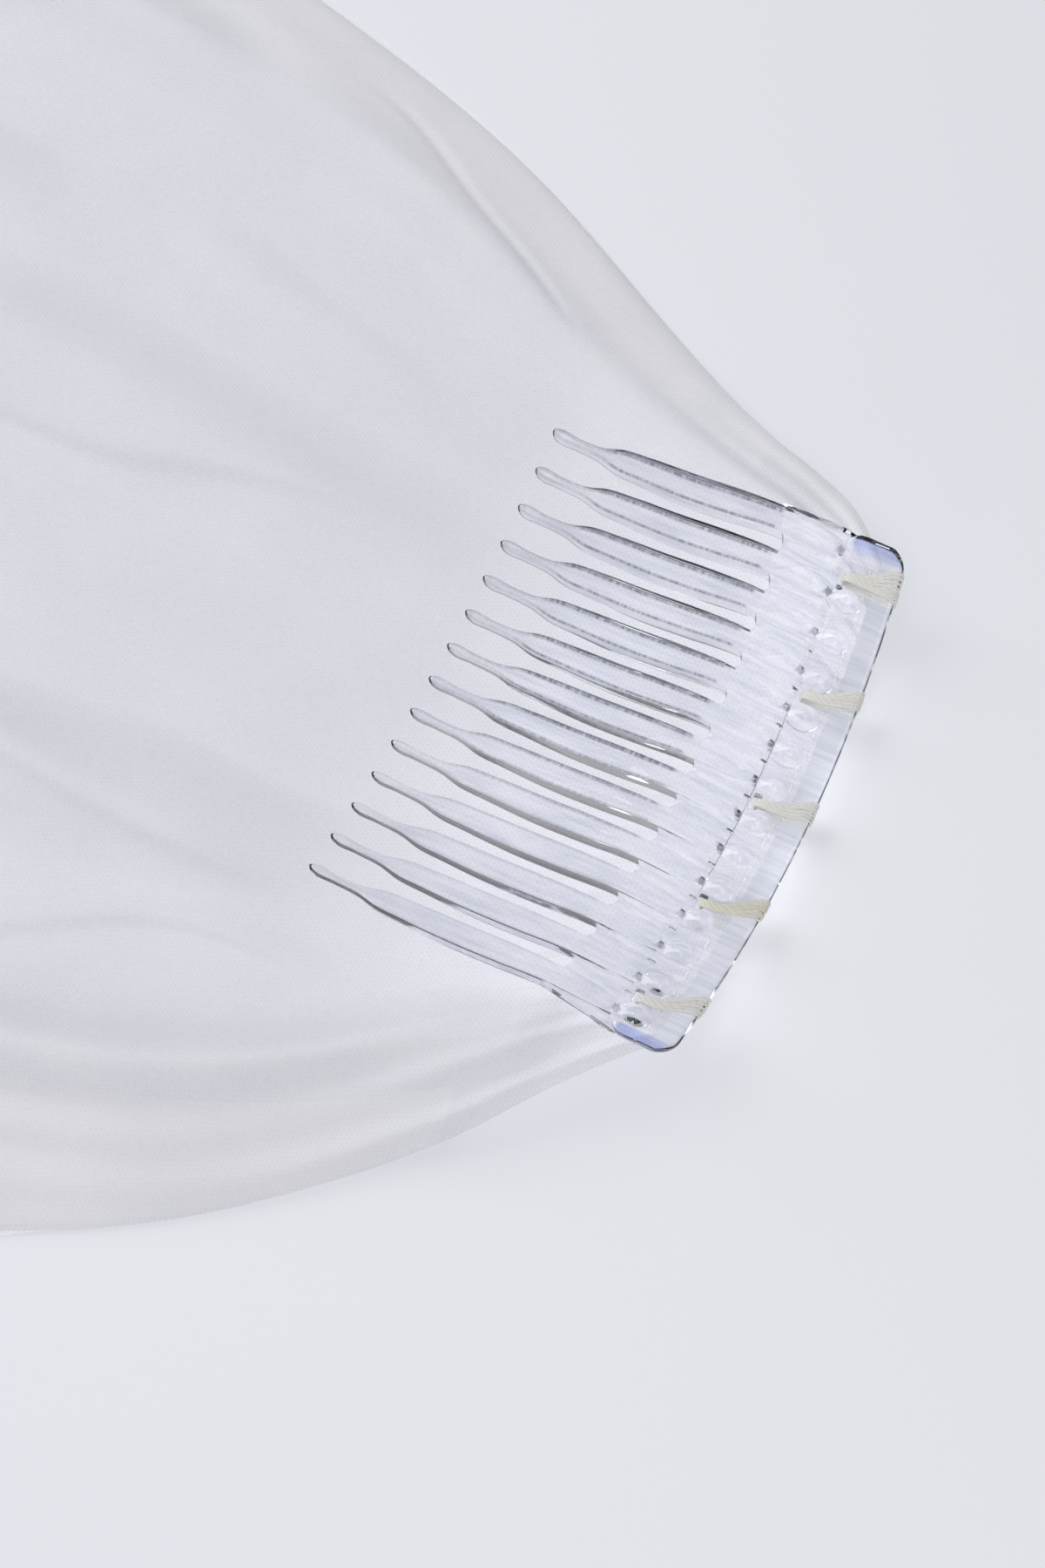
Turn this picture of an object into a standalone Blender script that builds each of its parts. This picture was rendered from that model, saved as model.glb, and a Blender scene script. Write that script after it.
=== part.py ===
"""A short bridal veil of soft tulle, laid flat and spread, gathered and sewn to a clear moulded hair comb.

Everything is in metres with +Z up. While it is modelled, the comb's spine runs along X with its middle at
X = 0, the teeth and the cloth run out along +Y, and the table is the plane Z = 0. One empty then carries all
the pieces so that the origin is below the middle of the whole veil.
"""

import math

import bpy
import numpy as np

MM = 0.001
GAP = 0.3 * MM
WHOLE_TURN = 2 * math.pi

# The comb
TEETH = 14
TOOTH_PITCH = 5.6 * MM
HALF_ROW = TOOTH_PITCH * (TEETH - 1) / 2
ARCH = 7.0 * MM
BOW = 2.6 * MM
TIP_Y = 44.4 * MM
SPINE_HALF_LENGTH = 39.5 * MM
WEB_HALF_LENGTH = 38.2 * MM
WEB_END_FLARE = 0.03
SPINE_STATIONS = 29
SPINE_CORNER = 2.6 * MM
SPINE_CORNER_STEPS = 4
SPINE_END_ANGLE = 0.25
BUMP_RADIUS = 1.9 * MM
BUMP_FLATTEN = 0.85
BUMP_BEHIND = 2.6 * MM
BUMP_HEIGHT = 4.2 * MM
BUMP_RINGS = 6
BUMP_SIDES = 10
FIRST_BUMP = 1
SMOOTH_BELOW_DEGREES = 25

# The flat strip that is sewn to the cloth: distance behind (-) or ahead (+) of the line of tooth roots
SPINE_SECTION = (
    # behind_mm, bottom_mm, top_mm
    (-9.0, 2.75, 3.35),
    (-8.4, 2.20, 3.90),
    (-0.9, 2.20, 3.90),
    (0.1, 2.45, 3.65),
)

# The thin web between the tooth roots and the ends of the slots
WEB_SECTION = (
    # ahead_mm, bottom_mm, top_mm
    (-1.3, 2.45, 3.60),
    (0.5, 2.70, 4.50),
    (2.5, 3.30, 5.30),
    (6.0, 3.80, 5.90),
    (9.3, 4.00, 6.15),
    (9.7, 4.10, 6.00),
)

# One tooth: a bevelled bar that rises from the root, sinks and flicks up in a narrow tip. Its sides lean out
# towards the underside. Its widest edges lie a share of half its thickness below its middle, and its underside
# is a share of that width.
EDGE_DROP = 0.6
UNDERSIDE_SHARE = 0.88
TOOTH_SECTION = (
    # ahead_mm, centre_mm, half_crown_mm, half_foot_mm, thickness_mm
    (0.4, 3.75, 1.10, 1.50, 1.70),
    (3.0, 4.45, 1.40, 1.85, 2.00),
    (9.5, 5.10, 1.55, 1.90, 2.30),
    (16.0, 4.15, 1.75, 2.05, 2.50),
    (23.0, 3.10, 1.75, 2.05, 2.40),
    (30.0, 2.80, 1.60, 1.85, 1.95),
    (34.2, 2.60, 1.35, 1.60, 1.60),
    (36.6, 2.50, 0.75, 0.95, 1.35),
    (40.5, 2.60, 0.55, 0.75, 1.20),
    (43.6, 3.10, 0.55, 0.80, 1.10),
    (44.4, 3.30, 0.30, 0.50, 0.70),
)

# The five lashings of sewing thread that hold the cloth to the spine. Each slants from its slot to the outer
# edge of the spine.
LASHINGS = (
    # slot_x_mm, outer_x_mm, outer_half_width_mm
    (33.6, 34.9, 2.00),
    (16.8, 19.0, 1.35),
    (0.0, 1.8, 1.40),
    (-16.8, -13.9, 1.20),
    (-33.6, -30.8, 1.35),
)
LASHING_HALF_WIDTH = 0.55 * MM
LASHING_THICKNESS = 0.5 * MM
SHARPEST_MITRE = 0.5
THREAD_SLOT_BEHIND = 1.2 * MM
THREAD_SLOT_HALF_LENGTH = 1.25 * MM
THREAD_SLOT_HALF_WIDTH = 0.6 * MM
THREAD_SLOT_LOW = -4 * MM
THREAD_SLOT_HIGH = 9 * MM

# The middle of a lashing's thickness, from the slot over the spine and back below it. The share of its slant
# and of its widening is 0 at the slot and 1 at the outer edge.
LASHING_PATH = (
    # behind_mm, height_mm, share
    (-1.20, 2.15, 0.0),
    (-1.20, 4.00, 0.0),
    (-1.65, 4.45, 0.0),
    (-3.60, 4.45, 0.04),
    (-5.40, 4.45, 0.35),
    (-8.90, 4.45, 1.0),
    (-9.55, 3.85, 1.0),
    (-9.55, 2.25, 1.0),
    (-8.90, 1.65, 1.0),
    (-6.30, 1.65, 0.6),
)

# The cloth
CLOTH_WALL = 1.2 * MM
CLOTH_COLUMNS = 57
CLOTH_ROWS = 27
ROW_CROWDING = 1.35
LIFT_ENDS_Y = 48 * MM
LIFT_ENDS_PAST_SPINE = 34 * MM
GATHER_PERIOD = TOOTH_PITCH
GATHER_HALF_HEIGHT = 0.25 * MM
GATHER_FADES_FROM = 0.036
GATHER_FADES_AT = 0.12
STEEPEST = 1.35
CLOTH_SMOOTH_BELOW_DEGREES = 60

# Where the two side edges of the spread cloth lie, from the comb to the hem, and how far the middle of the
# row runs ahead of the line between them
CLOTH_STATIONS = (
    # along, left_x_mm, left_y_mm, right_x_mm, right_y_mm, crown_mm
    (0.00, -38.5, -5.4, 38.5, -5.4, -2.6),
    (0.03, -47.0, 2.5, 46.0, 2.0, 0.0),
    (0.07, -60.5, 14.0, 53.0, 16.5, 2.0),
    (0.13, -81.5, 37.0, 66.0, 40.0, 6.0),
    (0.20, -97.0, 64.0, 81.5, 69.0, 9.0),
    (0.30, -113.5, 110.0, 96.5, 113.0, 12.0),
    (0.50, -138.0, 206.0, 112.0, 208.0, 18.0),
    (0.75, -172.0, 328.0, 135.0, 330.0, 28.0),
    (1.00, -205.0, 440.0, 162.0, 446.0, 48.0),
)

# Folds that run from the comb towards the hem. Across is 0 at the left edge and 1 at the right edge, and the
# half widths and heights are in millimetres.
FOLDS = (
    # across_comb, across_mid, across_hem, starts, half_mid, half_hem, height_mid, height_hem
    (0.130, 0.135, 0.125, 0.02, 13.0, 19.0, 6.5, 11.0),
    (0.300, 0.345, 0.330, 0.07, 13.0, 22.0, 4.0, 12.0),
    (0.710, 0.640, 0.600, 0.10, 14.0, 22.0, 3.5, 11.0),
    (0.900, 0.905, 0.880, 0.03, 7.5, 17.0, 4.5, 9.0),
    (0.420, 0.470, 0.455, 0.28, 11.0, 20.0, 2.5, 8.5),
    (0.230, 0.235, 0.225, 0.40, 9.0, 15.0, 2.0, 7.0),
    (0.780, 0.750, 0.735, 0.30, 10.0, 20.0, 2.5, 10.0),
)
FOLD_MID = 0.20
FOLD_RISE = 0.12
FOLD_NARROW_AT_COMB = 0.5

# The turned-under stretch along each side: how far it shows past the upper layer and how far it reaches in
TURN_STATIONS = (
    # along, left_shows_mm, left_reach_mm, right_shows_mm, right_reach_mm
    (0.07, -0.6, 8.0, -0.3, 6.0),
    (0.13, -0.6, 15.0, 0.0, 9.0),
    (0.18, 0.2, 19.0, 0.4, 11.0),
    (0.24, 5.0, 22.0, 0.8, 12.0),
    (0.50, 6.0, 34.0, 2.5, 24.0),
    (1.00, 6.0, 44.0, 4.0, 34.0),
)
TURN_COLUMNS = 7
TURN_LAYER = CLOTH_WALL + GAP
TURN_CLEARANCE = 2.5 * MM
TURN_SLOPE = 9 * MM
TURN_HEM_INSET = 0.004
TURN_RISES_FROM = 0.035
TURN_RISEN_AT = 0.012


def clear_scene():
    """Removes every object, so that the script can be run again."""
    for obj in list(bpy.data.objects):
        bpy.data.objects.remove(obj, do_unlink=True)


def material(name, colour, roughness, transmission=0.0):
    """A Principled material in one plain colour."""
    made = bpy.data.materials.new(name)
    made.use_nodes = True
    shader = made.node_tree.nodes["Principled BSDF"]
    shader.inputs["Base Color"].default_value = (*colour, 1.0)
    shader.inputs["Roughness"].default_value = roughness
    shader.inputs["Metallic"].default_value = 0.0
    shader.inputs["Transmission Weight"].default_value = transmission
    made.diffuse_color = (*colour, 1.0)
    return made


def mesh_object(name, points, faces, finish):
    """An object from points (n, 3) and faces, linked to the scene."""
    mesh = bpy.data.meshes.new(name)
    mesh.from_pydata([tuple(p) for p in np.asarray(points, float)], [], [tuple(f) for f in faces])
    mesh.validate()
    mesh.materials.append(finish)
    obj = bpy.data.objects.new(name, mesh)
    bpy.context.scene.collection.objects.link(obj)
    return obj


def smoothstep(value, low, high):
    """0 below low and 1 above high, with a soft S between them."""
    part = np.clip((np.asarray(value, float) - low) / (high - low), 0.0, 1.0)
    return part * part * (3.0 - 2.0 * part)


def along_table(rows, column, at):
    """A column of a table read at `at`, on a smooth curve through the table's rows."""
    table = np.array(rows, float)
    knots = table[:, 0]
    values = table[:, column]
    slopes = np.gradient(values, knots)
    at = np.clip(np.asarray(at, float), knots[0], knots[-1])
    span = np.clip(np.searchsorted(knots, at, side="right") - 1, 0, len(knots) - 2)
    width = knots[span + 1] - knots[span]
    u = (at - knots[span]) / width
    start = (2 * u**3 - 3 * u**2 + 1) * values[span] + (u**3 - 2 * u**2 + u) * width * slopes[span]
    end = (3 * u**2 - 2 * u**3) * values[span + 1] + (u**3 - u**2) * width * slopes[span + 1]
    return start + end


def arch_lift(x):
    """How far the comb's ends bend up from the table: a parabola across the row of teeth."""
    return ARCH * (np.asarray(x, float) / HALF_ROW) ** 2


def root_line(x):
    """The line of tooth roots in plan, bowed away from the tips in the middle."""
    return -BOW * (1.0 - (np.asarray(x, float) / HALF_ROW) ** 2)


def loft(sections):
    """Points and faces of a closed tube through rings of points (rings, points, 3), capped at both ends."""
    rings, count, _ = sections.shape
    faces = []
    for i in range(rings - 1):
        for j in range(count):
            k = (j + 1) % count
            faces.append((i * count + j, i * count + k, (i + 1) * count + k, (i + 1) * count + j))
    faces.append(tuple(reversed(range(count))))
    faces.append(tuple(range((rings - 1) * count, rings * count)))
    return sections.reshape(-1, 3), faces


def facing_out(obj):
    """Turns the faces of a closed mesh outwards."""
    mesh = obj.data
    mesh.calc_loop_triangles()
    points = np.array([v.co for v in mesh.vertices])
    corners = np.array([t.vertices for t in mesh.loop_triangles])
    a, b, c = (points[corners[:, k]] for k in range(3))
    if float((a * np.cross(b, c)).sum()) < 0.0:
        mesh.flip_normals()
    return obj


def strip_section(rows, x, squeeze=1.0):
    """The ring of a strip's section at x: along its top from behind to ahead, and back along its bottom."""
    table = np.array(rows, float) * MM
    middle = table[:, 0].mean()
    y = root_line(x) + middle + (table[:, 0] - middle) * squeeze
    lift = arch_lift(x)
    top = np.stack([np.full(len(y), x), y, table[:, 2] + lift], axis=1)
    bottom = np.stack([np.full(len(y), x), y, table[:, 1] + lift], axis=1)
    return np.concatenate([top, bottom[::-1]])


def spine(finish):
    """The flat strip of the comb's spine, with rounded corners in plan."""
    straight = SPINE_HALF_LENGTH - SPINE_CORNER
    half_width = (SPINE_SECTION[-1][0] - SPINE_SECTION[0][0]) * MM / 2
    rings = []
    angles = np.linspace(math.pi / 2, SPINE_END_ANGLE, SPINE_CORNER_STEPS)
    ends = [(straight + SPINE_CORNER * math.sin(a), 1 - SPINE_CORNER * (1 - math.cos(a)) / half_width)
            for a in angles]
    for x, squeeze in ends:
        rings.append(strip_section(SPINE_SECTION, -x, squeeze))
    for x in np.linspace(-straight, straight, SPINE_STATIONS):
        rings.append(strip_section(SPINE_SECTION, x))
    for x, squeeze in reversed(ends):
        rings.append(strip_section(SPINE_SECTION, x, squeeze))
    return facing_out(mesh_object("comb", *loft(np.array(rings)), finish))


def web(finish):
    """The thin web that joins the roots of the teeth, up to the ends of the slots."""
    stations = np.linspace(-WEB_HALF_LENGTH, WEB_HALF_LENGTH, SPINE_STATIONS)
    rings = np.array([strip_section(WEB_SECTION, x) for x in stations])
    ahead = np.array(WEB_SECTION)[:, 0]
    flare = 1.0 + WEB_END_FLARE * np.clip(1.0 - ahead / ahead[-1], 0.0, 1.0)
    rings[:, :, 0] *= np.concatenate([flare, flare[::-1]])
    return facing_out(mesh_object("web", *loft(rings), finish))


def tooth(index, finish):
    """One tooth: a six-sided bar with a narrow flat crown, carried along its table of sections."""
    x = HALF_ROW - index * TOOTH_PITCH
    rings = []
    for ahead, centre, crown, foot, thickness in (np.array(row) * MM for row in TOOTH_SECTION):
        y = ahead + root_line(x) * (1 - ahead / TIP_Y)
        half = thickness / 2
        under = UNDERSIDE_SHARE * foot
        edge = -EDGE_DROP * half
        across = np.array([-crown, crown, foot, under, -under, -foot])
        height = np.array([half, half, edge, -half, -half, edge])
        lift = arch_lift(x + across)
        rings.append(np.stack([x + across, np.full(6, y), centre + height + lift], axis=1))
    return facing_out(mesh_object(f"tooth_{index}", *loft(np.array(rings)), finish))


def bump(index, finish):
    """One round bump on the spine behind a tooth: a slightly flattened ball."""
    x = HALF_ROW - index * TOOTH_PITCH
    middle = np.array([x, root_line(x) - BUMP_BEHIND, BUMP_HEIGHT + arch_lift(x)])
    tilts = np.linspace(0, math.pi, BUMP_RINGS + 1)[1:-1]
    turns = np.arange(BUMP_SIDES) * WHOLE_TURN / BUMP_SIDES
    ring = np.stack([np.cos(turns), np.sin(turns), np.zeros(BUMP_SIDES)], axis=1)
    points = [middle + BUMP_RADIUS * BUMP_FLATTEN * np.array([0, 0, -1.0])]
    for tilt in tilts:
        level = np.array([0, 0, -math.cos(tilt) * BUMP_FLATTEN])
        points.extend(middle + BUMP_RADIUS * (ring * math.sin(tilt) + level))
    points.append(middle + BUMP_RADIUS * BUMP_FLATTEN * np.array([0, 0, 1.0]))
    last = len(points) - 1
    faces = []
    for j in range(BUMP_SIDES):
        k = (j + 1) % BUMP_SIDES
        faces.append((0, 1 + k, 1 + j))
        faces.append((last, last - BUMP_SIDES + j, last - BUMP_SIDES + k))
        for i in range(len(tilts) - 1):
            low = 1 + i * BUMP_SIDES
            faces.append((low + j, low + k, low + BUMP_SIDES + k, low + BUMP_SIDES + j))
    return facing_out(mesh_object(f"bump_{index}", points, faces, finish))


def thread_slot(x, finish):
    """The cutter of one small slot through the spine, where a lashing passes."""
    middle = np.array([x, root_line(x) - THREAD_SLOT_BEHIND, arch_lift(x)])
    corners = [(-1, -1), (1, -1), (1, 1), (-1, 1)]
    rings = [[middle + np.array([a * THREAD_SLOT_HALF_LENGTH, b * THREAD_SLOT_HALF_WIDTH, z])
              for a, b in corners] for z in (THREAD_SLOT_LOW, THREAD_SLOT_HIGH)]
    return facing_out(mesh_object("slot_cutter", *loft(np.array(rings)), finish))


def apply_boolean(target, other, operation):
    """Joins or cuts `target` with `other`, and removes `other`."""
    modifier = target.modifiers.new("join", "BOOLEAN")
    modifier.operation = operation
    modifier.solver = "EXACT"
    modifier.object = other
    graph = bpy.context.evaluated_depsgraph_get()
    joined = bpy.data.meshes.new_from_object(target.evaluated_get(graph))
    target.modifiers.clear()
    old = target.data
    target.data = joined
    bpy.data.meshes.remove(old)
    bpy.data.objects.remove(other, do_unlink=True)


def comb(finish):
    """The moulded comb: spine, web, teeth and bumps joined into one body, then slotted for the thread."""
    body = spine(finish)
    apply_boolean(body, web(finish), "UNION")
    for index in range(TEETH):
        apply_boolean(body, tooth(index, finish), "UNION")
    for index in range(FIRST_BUMP, TEETH):
        apply_boolean(body, bump(index, finish), "UNION")
    for slot_x, _, _ in LASHINGS:
        apply_boolean(body, thread_slot(slot_x * MM, finish), "DIFFERENCE")
    body.data.shade_smooth()
    body.data.set_sharp_from_angle(angle=math.radians(SMOOTH_BELOW_DEGREES))
    return body


def lashing(number, slot_x, outer_x, outer_half, finish):
    """One lashing of thread: a flat band up through its slot, over the spine and back below it."""
    path = np.array(LASHING_PATH, float)
    line = path[:, :2] * MM
    centres = slot_x + (outer_x - slot_x) * path[:, 2]
    halves = LASHING_HALF_WIDTH + (outer_half - LASHING_HALF_WIDTH) * path[:, 2]
    before = np.diff(line, axis=0, prepend=line[:1] * 2 - line[1:2])
    after = np.diff(line, axis=0, append=line[-1:] * 2 - line[-2:-1])
    before /= np.linalg.norm(before, axis=1)[:, None]
    after /= np.linalg.norm(after, axis=1)[:, None]
    heading = before + after
    heading /= np.linalg.norm(heading, axis=1)[:, None]
    mitre = 1.0 / np.maximum((heading * after).sum(1), SHARPEST_MITRE)
    side = np.stack([-heading[:, 1], heading[:, 0]], axis=1) * (LASHING_THICKNESS / 2 * mitre)[:, None]
    rings = []
    for point, out, centre, half in zip(line, side, centres, halves):
        ring = []
        for sign, across in ((1, -1), (1, 1), (-1, 1), (-1, -1)):
            place = point + sign * out
            px = centre + across * half
            ring.append((px, root_line(px) + place[0], place[1] + arch_lift(px)))
        rings.append(ring)
    return facing_out(mesh_object(f"thread_lashing_{number}", *loft(np.array(rings)), finish))


def table_lift(x, y):
    """How far the cloth is held off the table near the raised ends of the comb."""
    reach = np.minimum(np.abs(x), SPINE_HALF_LENGTH)
    fade_y = 1.0 - smoothstep(y, 0.0, LIFT_ENDS_Y)
    fade_x = 1.0 - smoothstep(np.abs(x), HALF_ROW, HALF_ROW + LIFT_ENDS_PAST_SPINE)
    return arch_lift(reach) * fade_y * fade_x


def cloth_rows():
    """Where the rows of the cloth's walls lie along it, closer together near the comb."""
    return np.linspace(0.0, 1.0, CLOTH_ROWS) ** ROW_CROWDING


def spread_plan(across, along):
    """The place in plan of points of the spread cloth, and the length of their row."""
    columns = (along_table(CLOTH_STATIONS, k, along) * MM for k in range(1, 6))
    left_x, left_y, right_x, right_y, crown = columns
    x = left_x + (right_x - left_x) * across
    y = left_y + (right_y - left_y) * across + crown * (1.0 - (2.0 * across - 1.0) ** 2)
    return x, y, right_x - left_x


def fold_height(across, along, row_length):
    """The height of the folds: soft rounded ridges that widen and rise towards the hem, over the gathers."""
    total = np.zeros_like(across)
    for comb_at, mid_at, hem_at, starts, mid_half, hem_half, mid_height, hem_height in FOLDS:
        centre = np.interp(along, (0.0, FOLD_MID, 1.0), (comb_at, mid_at, hem_at))
        comb_half = FOLD_NARROW_AT_COMB * mid_half
        half = np.interp(along, (0.0, FOLD_MID, 1.0), (comb_half, mid_half, hem_half)) * MM
        height = np.interp(along, (0.0, FOLD_MID, 1.0), (mid_height, mid_height, hem_height)) * MM
        away = np.abs(across - centre) * row_length / half
        ridge = np.where(away < 1.0, np.cos(np.minimum(away, 1.0) * math.pi / 2) ** 2, 0.0)
        total += height * smoothstep(along, starts, starts + FOLD_RISE) * ridge
    sewn_x = (across - 0.5) * (CLOTH_STATIONS[0][3] - CLOTH_STATIONS[0][1]) * MM
    gathers = GATHER_HALF_HEIGHT * (1.0 - np.cos(WHOLE_TURN * sewn_x / GATHER_PERIOD))
    return total + gathers * (1.0 - smoothstep(along, GATHER_FADES_FROM, GATHER_FADES_AT))


def turn_support(across, along, row_length):
    """How far the upper layer is raised by the turned-under stretches below its sides."""
    start = TURN_STATIONS[0][0]
    present = smoothstep(along, start - TURN_RISES_FROM, start - TURN_RISEN_AT)
    raised = np.zeros_like(across)
    for column, distance in ((2, across * row_length), (4, (1.0 - across) * row_length)):
        reach = along_table(TURN_STATIONS, column, along) * MM + TURN_CLEARANCE
        raised = np.maximum(raised, 1.0 - smoothstep(distance, reach, reach + TURN_SLOPE))
    return TURN_LAYER * raised * present


def slope_factor(x, y, z):
    """The length of a grid's normal per unit of height: 1 where it lies flat, more where it slopes."""
    du = np.stack([np.gradient(v, axis=0) for v in (x, y, z)], axis=-1)
    dv = np.stack([np.gradient(v, axis=1) for v in (x, y, z)], axis=-1)
    normal = np.cross(du, dv)
    return np.minimum(np.linalg.norm(normal, axis=-1) / np.abs(normal[..., 2]), STEEPEST)


def wall(name, x, y, bottom, top, finish):
    """A closed wall between two grids of heights over one plan."""
    rows, columns = x.shape
    upper = np.stack([x, y, top], axis=-1).reshape(-1, 3)
    lower = np.stack([x, y, bottom], axis=-1).reshape(-1, 3)
    under = rows * columns
    faces = []
    for i in range(rows - 1):
        for j in range(columns - 1):
            a = i * columns + j
            b, c, d = a + 1, a + columns + 1, a + columns
            faces.extend([(a, b, c), (a, c, d)])
            faces.extend([(under + a, under + c, under + b), (under + a, under + d, under + c)])
    border = ([j for j in range(columns)]
              + [i * columns + columns - 1 for i in range(1, rows)]
              + [(rows - 1) * columns + j for j in range(columns - 2, -1, -1)]
              + [i * columns for i in range(rows - 2, 0, -1)])
    for a, b in zip(border, border[1:] + border[:1]):
        faces.append((a, under + a, under + b, b))
    obj = mesh_object(name, np.concatenate([upper, lower]), faces, finish)
    obj.data.shade_smooth()
    obj.data.set_sharp_from_angle(angle=math.radians(CLOTH_SMOOTH_BELOW_DEGREES))
    return facing_out(obj)


def upper_layer(finish):
    """The spread cloth: a wall that lies on the table between its folds and is hollow below them."""
    along = cloth_rows()
    across, along = np.meshgrid(np.linspace(0.0, 1.0, CLOTH_COLUMNS), along)
    x, y, row_length = spread_plan(across, along)
    base = table_lift(x, y) + turn_support(across, along, row_length)
    top = base + CLOTH_WALL + fold_height(across, along, row_length)
    bottom = np.maximum(top - CLOTH_WALL * slope_factor(x, y, top), base)
    return wall("tulle_upper_layer", x, y, bottom, top, finish)


def turned_layer(name, left, finish):
    """One turned-under stretch: a flat strip on the table below a side of the upper layer."""
    along = cloth_rows()
    along = along[along > TURN_STATIONS[0][0]]
    along[-1] -= TURN_HEM_INSET
    inwards, along = np.meshgrid(np.linspace(0.0, 1.0, TURN_COLUMNS), along)
    shows = along_table(TURN_STATIONS, 1 if left else 3, along) * MM
    reach = along_table(TURN_STATIONS, 2 if left else 4, along) * MM
    _, _, row_length = spread_plan(np.zeros_like(along), along)
    across = (-shows + inwards * (shows + reach)) / row_length
    x, y, _ = spread_plan(across if left else 1.0 - across, along)
    base = table_lift(x, y)
    return wall(name, x, y, base, base + CLOTH_WALL, finish)


def stand_on_origin(pieces):
    """Parents the pieces to one empty that puts the middle of their base at the origin."""
    corners = np.array([v.co[:] for piece in pieces for v in piece.data.vertices])
    low, high = corners.min(0), corners.max(0)
    middle = (low + high) / 2
    base = bpy.data.objects.new("veil", None)
    bpy.context.scene.collection.objects.link(base)
    base.location = (-middle[0], -middle[1], -low[2])
    for piece in pieces:
        piece.parent = base


def main():
    """Builds the veil."""
    clear_scene()
    tulle = material("tulle", (0.86, 0.86, 0.88), 0.8)
    plastic = material("clear_plastic", (0.86, 0.88, 0.95), 0.08, transmission=0.9)
    thread = material("ivory_thread", (0.88, 0.86, 0.77), 0.6)
    pieces = [
        upper_layer(tulle),
        turned_layer("tulle_turned_left", True, tulle),
        turned_layer("tulle_turned_right", False, tulle),
        comb(plastic),
    ]
    for number, row in enumerate(LASHINGS, start=1):
        pieces.append(lashing(number, *(value * MM for value in row), thread))
    stand_on_origin(pieces)


main()
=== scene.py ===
"""The looks of a short bridal veil: soft tulle, gathered and sewn to a clear comb, laid out on a table.

Sizes are in metres unless a name or a table's columns say millimetres. Each piece is worked out in the
comb's own frame, with X along the spine, +Y from the spine towards the hem and the table at Z = 0, and is
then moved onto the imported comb.
"""

import logging
import math
from dataclasses import dataclass
from enum import Enum

import bpy
import numpy as np
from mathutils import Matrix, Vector


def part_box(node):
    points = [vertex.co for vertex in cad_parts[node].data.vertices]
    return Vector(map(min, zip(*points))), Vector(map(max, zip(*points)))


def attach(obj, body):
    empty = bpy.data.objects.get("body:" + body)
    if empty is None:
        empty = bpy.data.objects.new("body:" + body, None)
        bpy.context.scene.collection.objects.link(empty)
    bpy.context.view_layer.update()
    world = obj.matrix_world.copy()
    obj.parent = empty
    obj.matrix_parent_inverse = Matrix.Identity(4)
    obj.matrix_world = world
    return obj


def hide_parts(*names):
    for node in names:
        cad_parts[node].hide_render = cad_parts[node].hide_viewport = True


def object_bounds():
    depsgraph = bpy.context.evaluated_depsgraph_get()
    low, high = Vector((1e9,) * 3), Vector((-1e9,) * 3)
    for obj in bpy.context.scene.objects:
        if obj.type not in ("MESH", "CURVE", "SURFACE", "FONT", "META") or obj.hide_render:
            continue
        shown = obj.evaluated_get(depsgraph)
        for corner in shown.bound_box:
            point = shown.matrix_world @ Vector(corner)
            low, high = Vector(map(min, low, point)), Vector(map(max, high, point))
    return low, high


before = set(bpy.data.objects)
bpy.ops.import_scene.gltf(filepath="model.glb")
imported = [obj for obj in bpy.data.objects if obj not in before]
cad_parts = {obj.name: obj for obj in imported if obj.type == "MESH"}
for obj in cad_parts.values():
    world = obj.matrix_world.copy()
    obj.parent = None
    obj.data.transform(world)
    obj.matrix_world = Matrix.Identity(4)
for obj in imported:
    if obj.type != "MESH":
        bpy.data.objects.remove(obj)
CAD_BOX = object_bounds()
LOG = logging.getLogger("veil")
MM = 0.001
WHOLE_TURN = 2.0 * math.pi
BODY = "root"
MOST_ROUNDED = 0.45  # the largest share of a side that the rounding of one corner may take


# Curves and grids


def smoothstep(value: np.ndarray | float, low: float, high: float) -> np.ndarray:
    """A soft S, 3p^2 - 2p^3 of the clipped share p of the way from low to high."""
    part = np.clip((np.asarray(value, float) - low) / (high - low), 0.0, 1.0)
    return part * part * (3.0 - 2.0 * part)


def along_table(rows: tuple | np.ndarray, column: int, at: np.ndarray | float) -> np.ndarray:
    """A column of a table read on a smooth curve through its rows.

    Args:
        rows: The table. Its first column is the place, in rising order.
        column: The column to read.
        at: The places to read it at.

    Returns:
        Hermite cubics between the rows, with slopes from the neighbouring rows.
    """
    table = np.array(rows, float)
    knots, values = table[:, 0], table[:, column]
    slopes = np.gradient(values, knots)
    at = np.clip(np.asarray(at, float), knots[0], knots[-1])
    span = np.clip(np.searchsorted(knots, at, side="right") - 1, 0, len(knots) - 2)
    width = knots[span + 1] - knots[span]
    u = (at - knots[span]) / width
    start = (2 * u**3 - 3 * u**2 + 1) * values[span] + (u**3 - 2 * u**2 + u) * width * slopes[span]
    end = (3 * u**2 - 2 * u**3) * values[span + 1] + (u**3 - u**2) * width * slopes[span + 1]
    return start + end


def smooth_path(points: tuple | np.ndarray, count: int) -> np.ndarray:
    """Points (count, 2 or 3) on a smooth curve through some points, evenly spaced by chord length."""
    points = np.array(points, float)
    run = np.concatenate([[0.0], np.cumsum(np.linalg.norm(np.diff(points, axis=0), axis=1))])
    table = np.column_stack([run, points])
    at = np.linspace(0.0, run[-1], count)
    return np.stack([along_table(table, k + 1, at) for k in range(points.shape[1])], axis=-1)


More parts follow.
